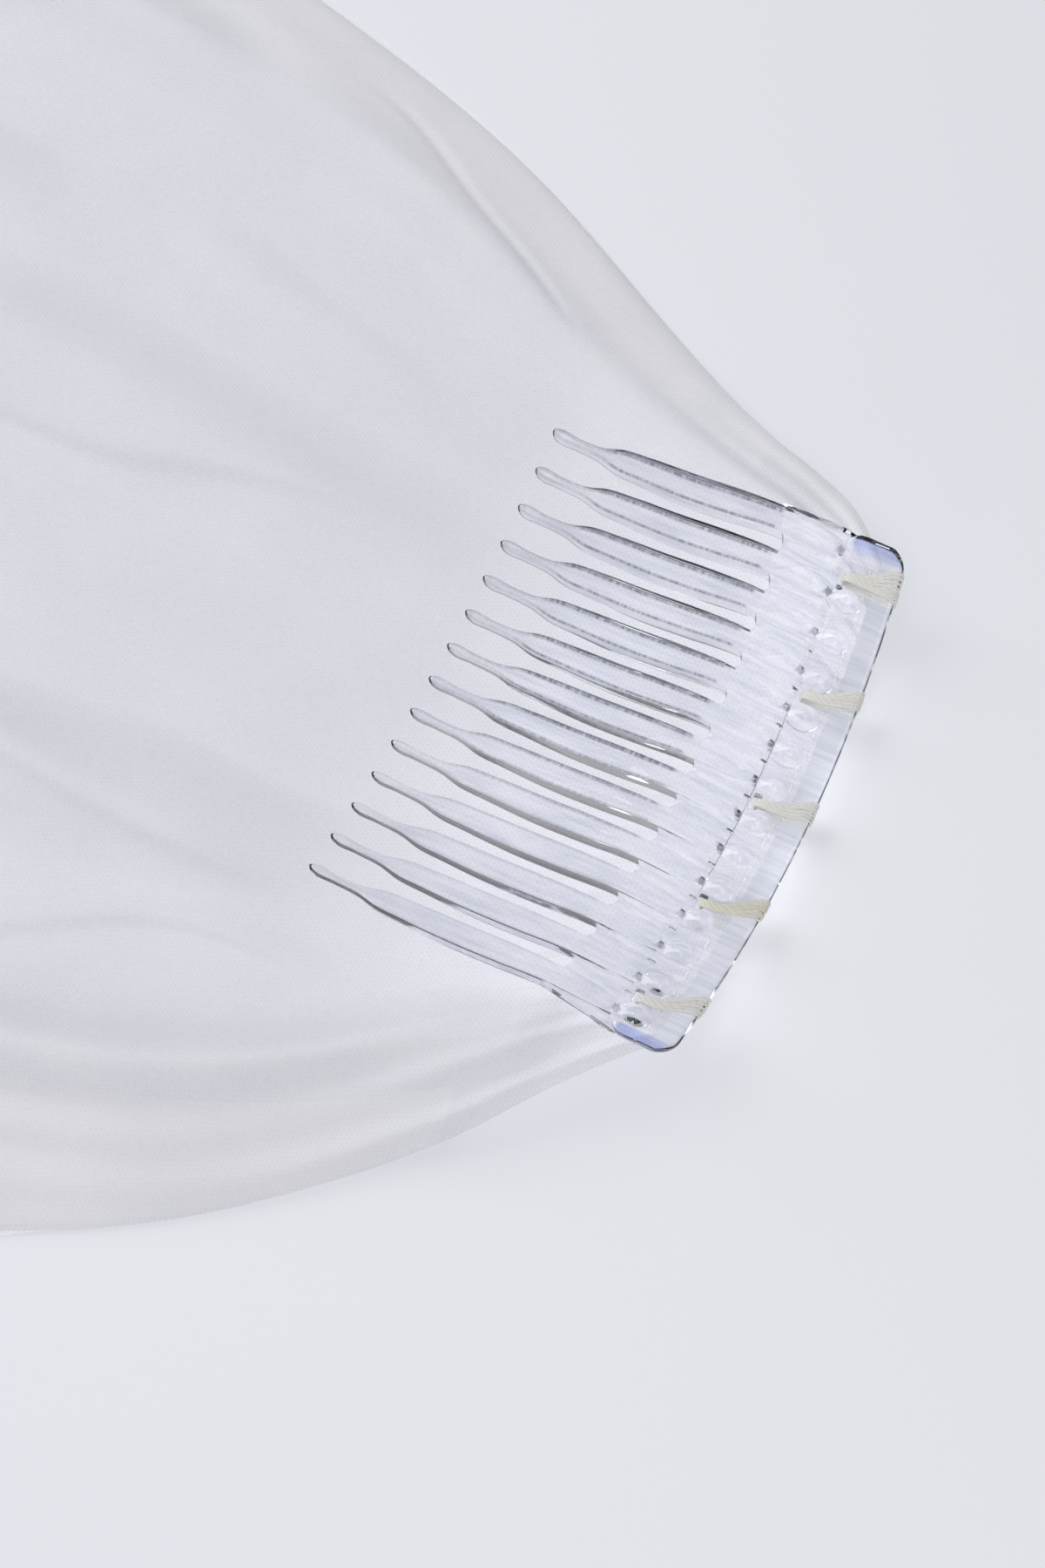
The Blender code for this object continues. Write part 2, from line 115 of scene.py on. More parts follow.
def rounded_ring(corners: np.ndarray, radius: float | np.ndarray, steps: int) -> np.ndarray:
    """A closed polygon with each corner rounded.

    Args:
        corners: The polygons' corners (..., n, 2).
        radius: How far from a corner its rounding starts, for all corners or for each one (n, 1).
        steps: How many points each rounding has.

    Returns:
        Points (..., n * steps, 2): at each corner a quadratic curve from one side to the next.
    """
    back = np.roll(corners, 1, axis=-2) - corners
    ahead = np.roll(corners, -1, axis=-2) - corners
    back_length = np.linalg.norm(back, axis=-1, keepdims=True)
    ahead_length = np.linalg.norm(ahead, axis=-1, keepdims=True)
    start = corners + back * np.minimum(radius / back_length, MOST_ROUNDED)
    end = corners + ahead * np.minimum(radius / ahead_length, MOST_ROUNDED)
    t = np.linspace(0.0, 1.0, steps)[:, None]
    curve = (
        (1 - t) ** 2 * start[..., None, :]
        + 2 * t * (1 - t) * corners[..., None, :]
        + t**2 * end[..., None, :]
    )
    return curve.reshape(*corners.shape[:-2], -1, 2)


def grid_quads(rows: int, columns: int, wrap: bool = False, wrap_rows: bool = False) -> np.ndarray:
    """The faces of a grid of points.

    Args:
        rows: Rows of points.
        columns: Points in a row.
        wrap: Whether each row closes on itself.
        wrap_rows: Whether the last row joins the first.

    Returns:
        Corner numbers (faces, 4).
    """
    i = np.arange(rows if wrap_rows else rows - 1)[:, None]
    j = np.arange(columns if wrap else columns - 1)[None, :]
    below, above = i * columns, (i + 1) % rows * columns
    next_j = (j + 1) % columns
    return np.stack([below + j, below + next_j, above + next_j, above + j], axis=-1).reshape(-1, 4)


def place_of_comb() -> np.ndarray:
    """Where the comb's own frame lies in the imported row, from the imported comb's box."""
    low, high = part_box("comb")
    return np.array([(low.x + high.x) / 2, low.y + SHAPE.spine_reach, 0.0])


def mesh_piece(
    name: str,
    points: np.ndarray,
    faces: list | np.ndarray,
    finish: bpy.types.Material,
    uv: np.ndarray | None = None,
    solid: bool = True,
) -> bpy.types.Object:
    """A smooth mesh object whose place is in its mesh.

    Args:
        name: The piece's name.
        points: Its points (n, 3) in the comb's frame.
        faces: Corner numbers of its faces.
        finish: Its material.
        uv: Where each point lies on the material's own map (n, 2).
        solid: Whether it is closed, so that its faces are turned outwards by the sign of its volume.

    Returns:
        The object, at the origin.
    """
    points = np.asarray(points, float) + place_of_comb()
    if isinstance(faces, np.ndarray):
        faces = faces.tolist()
    mesh = bpy.data.meshes.new(name)
    mesh.from_pydata(points.tolist(), [], faces)
    mesh.validate()
    if uv is not None:
        corner = np.zeros(len(mesh.loops), np.int32)
        mesh.loops.foreach_get("vertex_index", corner)
        layer = mesh.uv_layers.new(name="cut")
        layer.data.foreach_set("uv", np.asarray(uv, np.float32)[corner].ravel())
    if solid and mesh_volume(mesh) < 0.0:
        mesh.flip_normals()
    mesh.shade_smooth()
    mesh.materials.append(finish)
    obj = bpy.data.objects.new(name, mesh)
    bpy.context.scene.collection.objects.link(obj)
    return obj


def mesh_volume(mesh: bpy.types.Mesh) -> float:
    """The signed volume of a closed mesh: a sixth of the sum of a . (b x c) over its triangles."""
    mesh.calc_loop_triangles()
    points = np.zeros(len(mesh.vertices) * 3, np.float32)
    mesh.vertices.foreach_get("co", points)
    corners = np.zeros(len(mesh.loop_triangles) * 3, np.int32)
    mesh.loop_triangles.foreach_get("vertices", corners)
    points = points.reshape(-1, 3).astype(float)
    points -= points.mean(0)
    a, b, c = points[corners.reshape(-1, 3)].transpose(1, 0, 2)
    return float((a * np.cross(b, c)).sum() / 6)


def capped(rings: np.ndarray) -> tuple[np.ndarray, list]:
    """The points (n, 3) and faces of a closed tube through rings of points (rings, points, 3)."""
    count, around, _ = rings.shape
    faces = grid_quads(count, around, wrap=True).tolist()
    faces.append(list(range(around))[::-1])
    faces.append(list(range((count - 1) * around, count * around)))
    return rings.reshape(-1, 3), faces


# Finishes


def linear(colour: str) -> tuple[float, float, float, float]:
    """The linear red, green, blue and an alpha of 1 of an sRGB hex colour such as "#F4F4F8"."""
    parts = [int(colour[k : k + 2], 16) / 255 for k in (1, 3, 5)]
    return (*(p / 12.92 if p <= 0.04045 else ((p + 0.055) / 1.055) ** 2.4 for p in parts), 1.0)


def fill(node: bpy.types.Node, sockets: dict) -> None:
    """Gives a node's inputs their links and values.

    Args:
        node: The node.
        sockets: What goes into each input, by name or number: the output of another node is linked, and
            anything else is set as the input's own value.
    """
    for key, value in sockets.items():
        if isinstance(value, bpy.types.NodeSocket):
            node.id_data.links.new(value, node.inputs[key])
        else:
            node.inputs[key].default_value = value


def add_node(
    tree: bpy.types.NodeTree, kind: str, sockets: dict | None = None, **settings: object
) -> bpy.types.Node:
    """Adds one node of a type such as "ShaderNodeMath", with its own settings and what fill gives it."""
    node = tree.nodes.new(kind)
    for name, value in settings.items():
        setattr(node, name, value)
    fill(node, sockets or {})
    return node


def math_node(tree: bpy.types.NodeTree, operation: str, *values: object) -> bpy.types.NodeSocket:
    """The result of one Math node, with its inputs in order."""
    node = add_node(tree, "ShaderNodeMath", dict(enumerate(values)), operation=operation)
    return node.outputs[0]


def vector_node(tree: bpy.types.NodeTree, operation: str, *values: object) -> bpy.types.NodeSocket:
    """The result of one Vector Math node, with its inputs in order. A dot product's is a number."""
    node = add_node(tree, "ShaderNodeVectorMath", dict(enumerate(values)), operation=operation)
    return node.outputs["Value" if operation == "DOT_PRODUCT" else "Vector"]


def ramp(
    tree: bpy.types.NodeTree,
    value: bpy.types.NodeSocket,
    low: float,
    high: float,
    least: float = 0.0,
    most: float = 1.0,
    curve: str = "LINEAR",
) -> bpy.types.NodeSocket:
    """A value carried from between low and high to between least and most, and clipped there."""
    sockets = {"Value": value, "From Min": low, "From Max": high, "To Min": least, "To Max": most}
    return add_node(tree, "ShaderNodeMapRange", sockets, interpolation_type=curve).outputs[0]


def noise(
    tree: bpy.types.NodeTree, place: bpy.types.NodeSocket, scale: float, detail: float, space: str = "3D"
) -> bpy.types.NodeOutputs:
    """The outputs of one Noise Texture node, which are "Fac" and "Color"."""
    sockets = {"Vector": place, "Scale": scale, "Detail": detail}
    return add_node(tree, "ShaderNodeTexNoise", sockets, noise_dimensions=space).outputs


def blend(
    tree: bpy.types.NodeTree, share: bpy.types.NodeSocket, *ends: str | bpy.types.NodeSocket
) -> bpy.types.NodeSocket:
    """A colour between two others, each a hex colour or the output of a node."""
    first, second = (linear(end) if isinstance(end, str) else end for end in ends)
    return add_node(tree, "ShaderNodeMix", {0: share, 6: first, 7: second}, data_type="RGBA").outputs[2]


def relief(
    tree: bpy.types.NodeTree, strength: float, depth: float, height: bpy.types.NodeSocket
) -> bpy.types.NodeSocket:
    """The normal of a face with fine relief."""
    sockets = {"Strength": strength, "Distance": depth, "Height": height}
    return add_node(tree, "ShaderNodeBump", sockets).outputs[0]


def passes_light(tree: bpy.types.NodeTree, seen: float, shades: float) -> bpy.types.NodeSocket:
    """An alpha: how opaque a finish is as seen, and how opaque to a lamp's light on its way below."""
    light = add_node(tree, "ShaderNodeLightPath").outputs["Is Shadow Ray"]
    return math_node(tree, "MULTIPLY_ADD", light, shades - seen, seen)


def bare_material(name: str) -> tuple[bpy.types.Material, bpy.types.NodeTree, bpy.types.Node]:
    """A new material, its node tree and its Principled shader, which is linked to the output."""
    made = bpy.data.materials.new(name)
    made.use_nodes = True
    return made, made.node_tree, made.node_tree.nodes["Principled BSDF"]


@dataclass(frozen=True)
class NylonTulle:
    """Nylon tulle, a warp-knitted net of six-sided holes, soft finish: milky, sheer and almost without shine.

    The holes of the real net are about 0.7 mm across and its threads about 0.1 mm thick. The threads are
    drawn thicker and softer, so that they show as a fine even veil of white.
    """

    name: str = "nylon_tulle_soft_knitted"
    colour: str = "#EBEBEF"
    shade: str = "#E1E1E8"
    hole: float = 0.68 * MM
    thread: float = 0.17 * MM
    softness: float = 0.9
    haze: float = 0.61
    threads: float = 0.68
    passes_on: float = 0.38
    uneven: float = 0.64
    wanders_per_metre: float = 160.0
    clouds_per_metre: float = 60.0
    far_corner: tuple[float, float, float] = (900.0, 900.0, 0.5)
    roughness: float = 0.7
    sheen: float = 0.3
    sheen_roughness: float = 0.4
    specular: float = 0.3
    bump: float = 0.03 * MM
    bump_strength: float = 0.5

    def hex_distance(
        self, tree: bpy.types.NodeTree, point: bpy.types.NodeSocket, shift: float
    ) -> bpy.types.NodeSocket:
        """How far a point is from the nearest middle of one of the net's two sets of holes.

        The point is taken modulo a cell of 1 by the square root of 3, less half a cell. With g its absolute
        value, the distance is the larger of g.x and g . (1/2, root 3 / 2), which is 1/2 on a hole's edge.

        Args:
            tree: The node tree.
            point: The place on the cut, in holes.
            shift: 0 for the first set of holes, and 1 for the set half a cell away.

        Returns:
            The distance, in holes.
        """
        cell = (1.0, math.sqrt(3.0), 1.0)
        half = tuple(c / 2 for c in cell)
        moved = vector_node(tree, "ADD", point, tuple(h * shift for h in half))
        centred = vector_node(tree, "SUBTRACT", vector_node(tree, "MODULO", moved, cell), half)
        size = vector_node(tree, "ABSOLUTE", centred)
        slant = vector_node(tree, "DOT_PRODUCT", size, (0.5, math.sqrt(0.75), 0.0))
        split = add_node(tree, "ShaderNodeSeparateXYZ", {0: size})
        return math_node(tree, "MAXIMUM", slant, split.outputs["X"])

    def material(self) -> bpy.types.Material:
        """The tulle: threads where the net's map says, and a fainter haze between them."""
        made, tree, shader = bare_material(self.name)
        cut = add_node(tree, "ShaderNodeUVMap", uv_map="cut").outputs["UV"]
        # the holes' rows wander a little, as they do in cloth that has been handled
        wander = noise(tree, cut, self.wanders_per_metre, 1.0, "2D")["Color"]
        centred = vector_node(tree, "SUBTRACT", wander, (0.5, 0.5, 0.5))
        drift = vector_node(tree, "MULTIPLY", centred, (self.uneven,) * 3)
        # counted in holes, from a far corner so that no count is below 0
        per_metre = (1 / self.hole, 1 / self.hole, 0.0)
        in_holes = vector_node(tree, "MULTIPLY_ADD", cut, per_metre, self.far_corner)
        point = vector_node(tree, "ADD", in_holes, drift)
        distances = (self.hex_distance(tree, point, shift) for shift in (0.0, 1.0))
        nearest = math_node(tree, "MINIMUM", *distances)
        half = self.thread / self.hole / 2
        starts, full = (0.5 - half * (1 + side * self.softness) for side in (1, -1))
        covered = ramp(tree, nearest, starts, full, self.haze, self.threads, "SMOOTHSTEP")
        rounded = ramp(tree, nearest, starts, 0.5, curve="SMOOTHERSTEP")
        cloud = noise(tree, cut, self.clouds_per_metre, 3.0, "2D")["Fac"]
        # fine threads scatter light on through the net, so it shades what lies below less than it hides it
        kept = passes_light(tree, 1.0, 1.0 - self.passes_on)
        looks = {
            "Base Color": blend(tree, cloud, self.colour, self.shade),
            "Alpha": math_node(tree, "MULTIPLY", covered, kept),
            "Normal": relief(tree, self.bump_strength, self.bump, rounded),
            "Roughness": self.roughness,
            "Sheen Weight": self.sheen,
            "Sheen Roughness": self.sheen_roughness,
            "Specular IOR Level": self.specular,
        }
        fill(shader, looks)
        return made


@dataclass(frozen=True)
class ClearPlastic:
    """Clear polystyrene, injection moulded: bright edges, dark thin lines of painted shade and a faint
    lavender blueing.

    The blueing at the two ends of the spine is painted light, where light runs a long way inside. The
    attribute
    "edge" says how near a bevel's line is, where painted shade draws a grey line along the plastic's edge.
    """

    name: str = "clear_polystyrene_moulded"
    colour: str = "#FBFBFE"
    end_glow_colour: str = "#C2CBF6"
    ior: float = 1.49
    roughness: float = 0.03
    ripple: float = 3.0 * MM
    ripple_depth: float = 0.012 * MM
    lets_light_through: float = 0.97
    end_starts: float = 37.7 * MM
    end_full: float = 38.2 * MM
    behind: tuple[float, float] = (-0.6 * MM, -1.2 * MM)
    edge_shade_colour: str = "#454C59"
    streak: float = 0.5 * MM
    streak_stretch: tuple[float, float, float] = (0.2, 1.0, 0.2)
    streak_from: tuple[float, float, float] = (0.25, 0.6, 0.35)
    flow_line: float = 0.7 * MM
    flow_stretch: tuple[float, float, float] = (1.0, 0.06, 0.5)
    flow_from: tuple[float, float] = (0.46, 0.66)
    flow_shade: str = "#E4E7F0"

    def material(self) -> bpy.types.Material:
        """The plastic, with the slow ripple of a moulded face and flow lines that run along the teeth."""
        made, tree, shader = bare_material(self.name)
        place = add_node(tree, "ShaderNodeTexCoord").outputs["Object"]
        ripple = noise(tree, place, 1 / self.ripple, 2.0)["Fac"]
        from_middle = vector_node(tree, "SUBTRACT", place, tuple(place_of_comb()))
        split = add_node(tree, "ShaderNodeSeparateXYZ", {0: from_middle}).outputs
        reach = math_node(tree, "ABSOLUTE", split["X"])
        # painted light: the spine's two ends are tinted blue, for light that runs a long way inside them
        end = ramp(tree, reach, self.end_starts, self.end_full, curve="SMOOTHSTEP")
        behind = ramp(tree, split["Y"], *self.behind, curve="SMOOTHSTEP")
        clear = blend(tree, math_node(tree, "MULTIPLY", end, behind), self.colour, self.end_glow_colour)
        # the melt ran from the spine into the teeth, and left faint lines that way
        drawn = vector_node(tree, "MULTIPLY", place, self.flow_stretch)
        flow = noise(tree, drawn, 1 / self.flow_line, 2.0)["Fac"]
        clear = blend(tree, ramp(tree, flow, *self.flow_from), clear, self.flow_shade)
        # noise stretched across the teeth breaks the painted shade of each bevel into fine streaks
        steps = vector_node(tree, "MULTIPLY", place, self.streak_stretch)
        streaks = noise(tree, steps, 1 / self.streak, 3.0)["Fac"]
        edge_shade_streaks = ramp(tree, streaks, *self.streak_from)
        # painted shade: the grey lines along the bevels and at the notches, where the attribute "edge" says
        edge = add_node(tree, "ShaderNodeAttribute", attribute_name="edge").outputs["Fac"]
        looks = {
            "Base Color": blend(tree, math_node(tree, "MULTIPLY", edge, edge_shade_streaks), clear, self.edge_shade_colour),
            "Alpha": passes_light(tree, 1.0, 1.0 - self.lets_light_through),
            "Normal": relief(tree, 1.0, self.ripple_depth, ripple),
            "Roughness": self.roughness,
            "IOR": self.ior,
            "Transmission Weight": 1.0,
        }
        fill(shader, looks)
        return made


@dataclass(frozen=True)
class SewingThread:
    """Spun polyester sewing thread, two-ply: ivory, satin, with a fine slanting twist."""

    name: str = "polyester_thread_ivory"
    colour: str = "#F4F3F0"
    shade: str = "#E6E5DF"
    cover: float = 0.72
    shades: float = 0.3
    twist: float = 0.9 * MM
    ply_depth: float = 0.05 * MM
    ply_strength: float = 0.7
    roughness: float = 0.55
    sheen: float = 0.4

    def material(self) -> bpy.types.Material:
        """The thread, with its plies as slanting bands along each strand's own map, darker in the grooves as
        painted shade.
        """
        made, tree, shader = bare_material(self.name)
        strand = add_node(tree, "ShaderNodeUVMap", uv_map="cut").outputs["UV"]
        slant = vector_node(tree, "DOT_PRODUCT", strand, (WHOLE_TURN / self.twist, 2 * WHOLE_TURN, 0.0))
        height = ramp(tree, math_node(tree, "SINE", slant), -1.0, 1.0)
        looks = {
            # painted shade: the grooves between the plies take the darker colour
            "Base Color": blend(tree, height, self.shade, self.colour),
            "Alpha": passes_light(tree, self.cover, self.shades),
            "Normal": relief(tree, self.ply_strength, self.ply_depth, height),
            "Roughness": self.roughness,
            "Sheen Weight": self.sheen,
        }
        fill(shader, looks)
        return made


@dataclass(frozen=True)
class PaintedBoard:
    """A table of painted board: pale, cool and matt, with a tone that drifts very slowly."""

    name: str = "painted_board_matt"
    colour: str = "#F0F1F6"
    shade: str = "#EAEDF6"
    drifts_per_metre: float = 5.0
    grains_per_metre: float = 900.0
    grain_depth: float = 0.02 * MM
    grain_strength: float = 0.2
    specular: float = 0.25
    roughness: float = 0.65

    def material(self) -> bpy.types.Material:
        """The board's paint."""
        made, tree, shader = bare_material(self.name)
        place = add_node(tree, "ShaderNodeTexCoord").outputs["Object"]
        drift = noise(tree, place, self.drifts_per_metre, 1.0)["Fac"]
        grain = noise(tree, place, self.grains_per_metre, 2.0)["Fac"]
        looks = {
            "Base Color": blend(tree, drift, self.colour, self.shade),
            "Normal": relief(tree, self.grain_strength, self.grain_depth, grain),
            "Roughness": self.roughness,
            "Specular IOR Level": self.specular,
        }
        fill(shader, looks)
        return made


# The comb


@dataclass(frozen=True)
class CombShape:
    """The lines that the comb, the cloth and the thread all follow."""

    teeth: int = 14
    pitch: float = 5.6 * MM
    arch: float = 7.0 * MM
    bow: float = 2.6 * MM
    tip: float = 44.4 * MM
    half_length: float = 39.5 * MM
    spine_reach: float = 11.6 * MM
    slot_x: tuple[float, ...] = (33.6 * MM, 16.8 * MM, 0.0, -16.8 * MM, -33.6 * MM)

    @property
    def half_row(self) -> float:
        """Half the length of the row of teeth, middle to middle."""
        return self.pitch * (self.teeth - 1) / 2

    def lift(self, x: np.ndarray | float) -> np.ndarray:
        """How far the comb's ends bend up from the table: a parabola along the row of teeth."""
        return self.arch * (np.asarray(x, float) / self.half_row) ** 2

    def root(self, x: np.ndarray | float) -> np.ndarray:
        """The line of tooth roots in plan, a parabola bowed away from the tips in the middle."""
        return -self.bow * (1.0 - (np.asarray(x, float) / self.half_row) ** 2)

    def tooth_x(self) -> np.ndarray:
        """Where the teeth stand along the row."""
        return self.half_row - np.arange(self.teeth) * self.pitch


SHAPE = CombShape()
LIFT_FADES = (48 * MM, 34 * MM)  # how far ahead of the roots and past the end teeth the comb lifts the cloth


@dataclass
class ClearComb:
    """The moulded comb: a flat spine, a fluted web and bevelled teeth, all but the first with a bump."""

    finish: bpy.types.Material
    corner: float = 2.6 * MM
    corner_steps: int = 9
    spine_stations: int = 90
    web_half_length: float = 38.2 * MM
    web_end_flare: float = 0.03
    web_per_pitch: int = 24
    web_rows: int = 16
    flute_depth: float = 0.45 * MM
    scallop: float = 0.16
    ribs: tuple = (
        # how many to a pitch, depth_mm
        (3.0, 0.15),
        (5.3, 0.08),
    )
    tooth_stations: int = 60
    edge_round: tuple[float, ...] = (0.4 * MM, 0.4 * MM, 0.3 * MM, 0.4 * MM, 0.4 * MM, 0.3 * MM)
    underside: float = 0.88
    edge_drop: float = 0.6
    tip_round: float = 0.7 * MM
    tip_least: float = 0.12
    tip_shares: tuple[float, ...] = (0.5, 0.25, 0.08, 0.0)
    edge_steps: int = 5
    end_turn: float = 0.12
    end_thin: tuple[float, float] = (0.55, 0.85)
    spine_round: float = 0.3 * MM
    least_wall: float = 0.3 * MM
    flute_rows: tuple[float, float] = (0.0, 3.0)
    scallop_rows: tuple[float, float] = (4.0, 9.7)
    rib_rows: tuple[float, float, float, float] = (0.0, 1.5, 8.0, 9.5)
    # the next five fields place the painted shade lines on the teeth and at the notches
    shade_line_width: tuple[float, float] = (0.12 * MM, 0.4 * MM)
    lines_mm: tuple[float, float, float, float] = (9.2, 9.9, 34.0, 37.0)
    tip_lines: float = 0.4
    lower_edges: tuple[float, float, float] = (-24.0 * MM, 2.0 * MM, 0.35)
    notch_shade_mark: tuple[float, float, float] = (0.55 * MM, 2.6 * MM, 0.85)
    notch_ahead: tuple[float, float] = (0.2 * MM, 0.1 * MM)
    notch_level: float = 4.9 * MM
    slot_level: float = 2.5 * MM
    slot_cut: float = 6.5 * MM
    sharp_from: float = 32.0
    bump_radius: float = 2.25 * MM
    bump_behind: float = 2.6 * MM
    bump_foot: tuple[float, float] = (3.0 * MM, 3.88 * MM)
    bump_rise: float = 1.4 * MM
    bump_point: float = 0.9 * MM
    bump_rings: int = 18
    bump_around: int = 24
    bump_closes: float = 0.97
    cutter_round: float = 0.5
    round_steps: int = 4
    notch: tuple[float, float, float] = (0.50 * MM, 0.30 * MM, 1.4 * MM)
    gap_notch: tuple[float, float, float] = (0.28 * MM, 0.55 * MM, 1.4 * MM)
    slot_half: tuple[float, float] = (1.25 * MM, 0.6 * MM)
    slot_behind: float = 1.2 * MM
    spine_section: tuple = (
        # behind_mm, bottom_mm, top_mm
        (-9.0, 2.75, 3.35),
        (-8.4, 2.20, 3.90),
        (-0.9, 2.20, 3.90),
        (0.1, 2.45, 3.65),
    )
    web_section: tuple = (
        # ahead_mm, bottom_mm, top_mm
        (-1.3, 2.45, 3.60),
        (0.5, 2.70, 4.50),
        (2.5, 3.30, 5.30),
        (6.0, 3.80, 5.90),
        (9.3, 4.00, 6.15),
        (9.7, 4.10, 6.00),
    )
    tooth_section: tuple = (
        # ahead_mm, centre_mm, half_crown_mm, half_foot_mm, thickness_mm
        (0.4, 3.75, 1.10, 1.50, 1.70),
        (3.0, 4.45, 1.40, 1.85, 2.00),
        (9.5, 5.10, 1.55, 1.90, 2.30),
        (16.0, 4.15, 1.75, 2.05, 2.50),
        (23.0, 3.10, 1.75, 2.05, 2.40),
        (30.0, 2.80, 1.60, 1.85, 1.95),
        (34.2, 2.60, 1.35, 1.60, 1.60),
        (36.6, 2.50, 0.75, 0.95, 1.35),
        (40.5, 2.60, 0.55, 0.75, 1.20),
        (43.6, 3.10, 0.55, 0.80, 1.10),
        (44.4, 3.30, 0.30, 0.50, 0.70),
    )

    def spine(self) -> bpy.types.Object:
        """The flat strip: one rounded section carried along X, drawn in at both ends to round its corners."""
        table = np.array(self.spine_section) * MM
        ring = np.concatenate([table[:, [0, 2]], table[::-1][:, [0, 1]]])
        ring = rounded_ring(ring, self.spine_round, self.round_steps)
        straight = SHAPE.half_length - self.corner
        turn = np.linspace(math.pi / 2, self.end_turn, self.corner_steps)
        half_width = np.ptp(ring[:, 0]) / 2
        end_x = straight + self.corner * np.sin(turn)
        end_in = 1 - self.corner * (1 - np.cos(turn)) / half_width
        middle = np.linspace(-straight, straight, self.spine_stations)
        x = np.concatenate([-end_x, middle, end_x[::-1]])
        squeeze = np.concatenate([end_in, np.ones(len(middle)), end_in[::-1]])
        thin = np.concatenate([self.end_thin, np.ones(len(x) - 4), self.end_thin[::-1]])
        centre, level = ring.mean(0)
        y = SHAPE.root(x)[:, None] + centre + (ring[:, 0] - centre) * squeeze[:, None]
        z = SHAPE.lift(x)[:, None] + level + (ring[:, 1] - level) * thin[:, None]
        rings = np.stack([np.broadcast_to(x[:, None], y.shape), y, z], axis=-1)
        return mesh_piece("clear_comb", *capped(rings), self.finish)

    def web(self) -> bpy.types.Object:
        """The web between the roots: its top sinks in a flute and its front edge draws back between teeth.

        Between two teeth a share g, (1 - cos of the phase of the pitch) / 2, lowers the top by the flute's
        depth and shortens the front rows by the scallop's share. Finer ribs, each a cosine, run with it.
        """
        table = np.array(self.web_section)
        ahead = np.linspace(table[0, 0], table[-1, 0], self.web_rows)
        bottom = np.interp(ahead, table[:, 0], table[:, 1])
        top = np.interp(ahead, table[:, 0], table[:, 2])
        count = self.web_per_pitch * self.web_pitches() + 1
        x = np.linspace(-self.web_half_length, self.web_half_length, count)
        gap = 0.5 - 0.5 * np.cos(WHOLE_TURN * (x - SHAPE.half_row) / SHAPE.pitch)
        gap = np.where(np.abs(x) > SHAPE.half_row, 0.0, gap)[:, None]
        front = smoothstep(ahead, *self.scallop_rows)
        flute = self.flute_depth * smoothstep(ahead, *self.flute_rows)
        reach = ahead * MM * (1 - self.scallop * gap * front)
        phase = WHOLE_TURN * x / SHAPE.pitch
        ribs = sum(depth * MM * np.cos(many * phase) for many, depth in self.ribs)[:, None]
        ribs = ribs * smoothstep(ahead, *self.rib_rows[:2]) * (1.0 - smoothstep(ahead, *self.rib_rows[2:]))
        level = np.maximum(top * MM - flute * gap + ribs, bottom * MM + self.least_wall)
        upper = np.stack([reach, level], axis=-1)
        lower = np.stack([reach, np.broadcast_to(bottom * MM, reach.shape)], axis=-1)
        ring = np.concatenate([upper, lower[:, ::-1]], axis=1)
        y = ring[..., 0] + SHAPE.root(x)[:, None]
        z = ring[..., 1] + SHAPE.lift(x)[:, None]
        flare = 1.0 + self.web_end_flare * np.clip(1.0 - ahead / ahead[-1], 0.0, 1.0)
        px = x[:, None] * np.concatenate([flare, flare[::-1]])
        return mesh_piece("web", *capped(np.stack([px, y, z], axis=-1)), self.finish)

    def web_pitches(self) -> int:
        """How many pitches the web is long, rounded up."""
        return math.ceil(2 * self.web_half_length / SHAPE.pitch)

    def tooth(self, number: int, x: float) -> bpy.types.Object:
        """One tooth: a bevelled bar with rounded edges carried along its table, ending in a round tip."""
        first, last = self.tooth_section[0][0], self.tooth_section[-1][0]
        ahead = first + (last - first) * np.linspace(0.0, 1.0, self.tooth_stations)
        ahead = np.concatenate([ahead[:-1], last - self.tip_round / MM * np.array(self.tip_shares)])
        ahead.sort()
        centre, crown, foot, thick = (along_table(self.tooth_section, k, ahead) * MM for k in range(1, 5))
        left = np.clip((last - ahead) * MM / self.tip_round, 0.0, 1.0)
        ball = np.maximum(np.sqrt(1 - (1 - left) ** 2), self.tip_least)
        under = self.underside * foot
        across = np.stack([-crown, crown, foot, under, -under, -foot], axis=-1) * ball[:, None]
        half = thick / 2 * ball
        edge = -self.edge_drop * half
        up = np.stack([half, half, edge, -half, -half, edge], axis=-1)
        radius = np.array(self.edge_round)[:, None]
        ring = rounded_ring(np.stack([across, up], axis=-1), radius, self.edge_steps)
        y = ahead * MM + SHAPE.root(x) * (1 - ahead * MM / SHAPE.tip)
        px = x + ring[..., 0]
        pz = centre[:, None] + ring[..., 1] + SHAPE.lift(px)
        rings = np.stack([px, np.broadcast_to(y[:, None], px.shape), pz], axis=-1)
        return mesh_piece(f"tooth_{number}", *capped(rings), self.finish)

    def bump(self, number: int, x: float) -> bpy.types.Object:
        """One bump: half a wave of a cosine turned about its middle, drawn out in front towards its tooth."""
        share = np.concatenate([[0.0], np.linspace(0.0, self.bump_closes, self.bump_rings)])[:, None]
        turn = np.linspace(0.0, WHOLE_TURN, self.bump_around, endpoint=False)[None, :]
        out = self.bump_radius * (1.0 - share)
        y = out * np.sin(turn)
        y = y + self.bump_point * np.clip(y / self.bump_radius, 0.0, 1.0) ** 2
        z = self.bump_foot[1] + self.bump_rise * (0.5 - 0.5 * np.cos(math.pi * share))
        z[0] = self.bump_foot[0]
        middle = np.array([x, SHAPE.root(x) - self.bump_behind, SHAPE.lift(x)])
        rings = np.stack([out * np.cos(turn), y, np.broadcast_to(z, y.shape)], axis=-1) + middle
        return mesh_piece(f"bump_{number}", *capped(rings), self.finish)

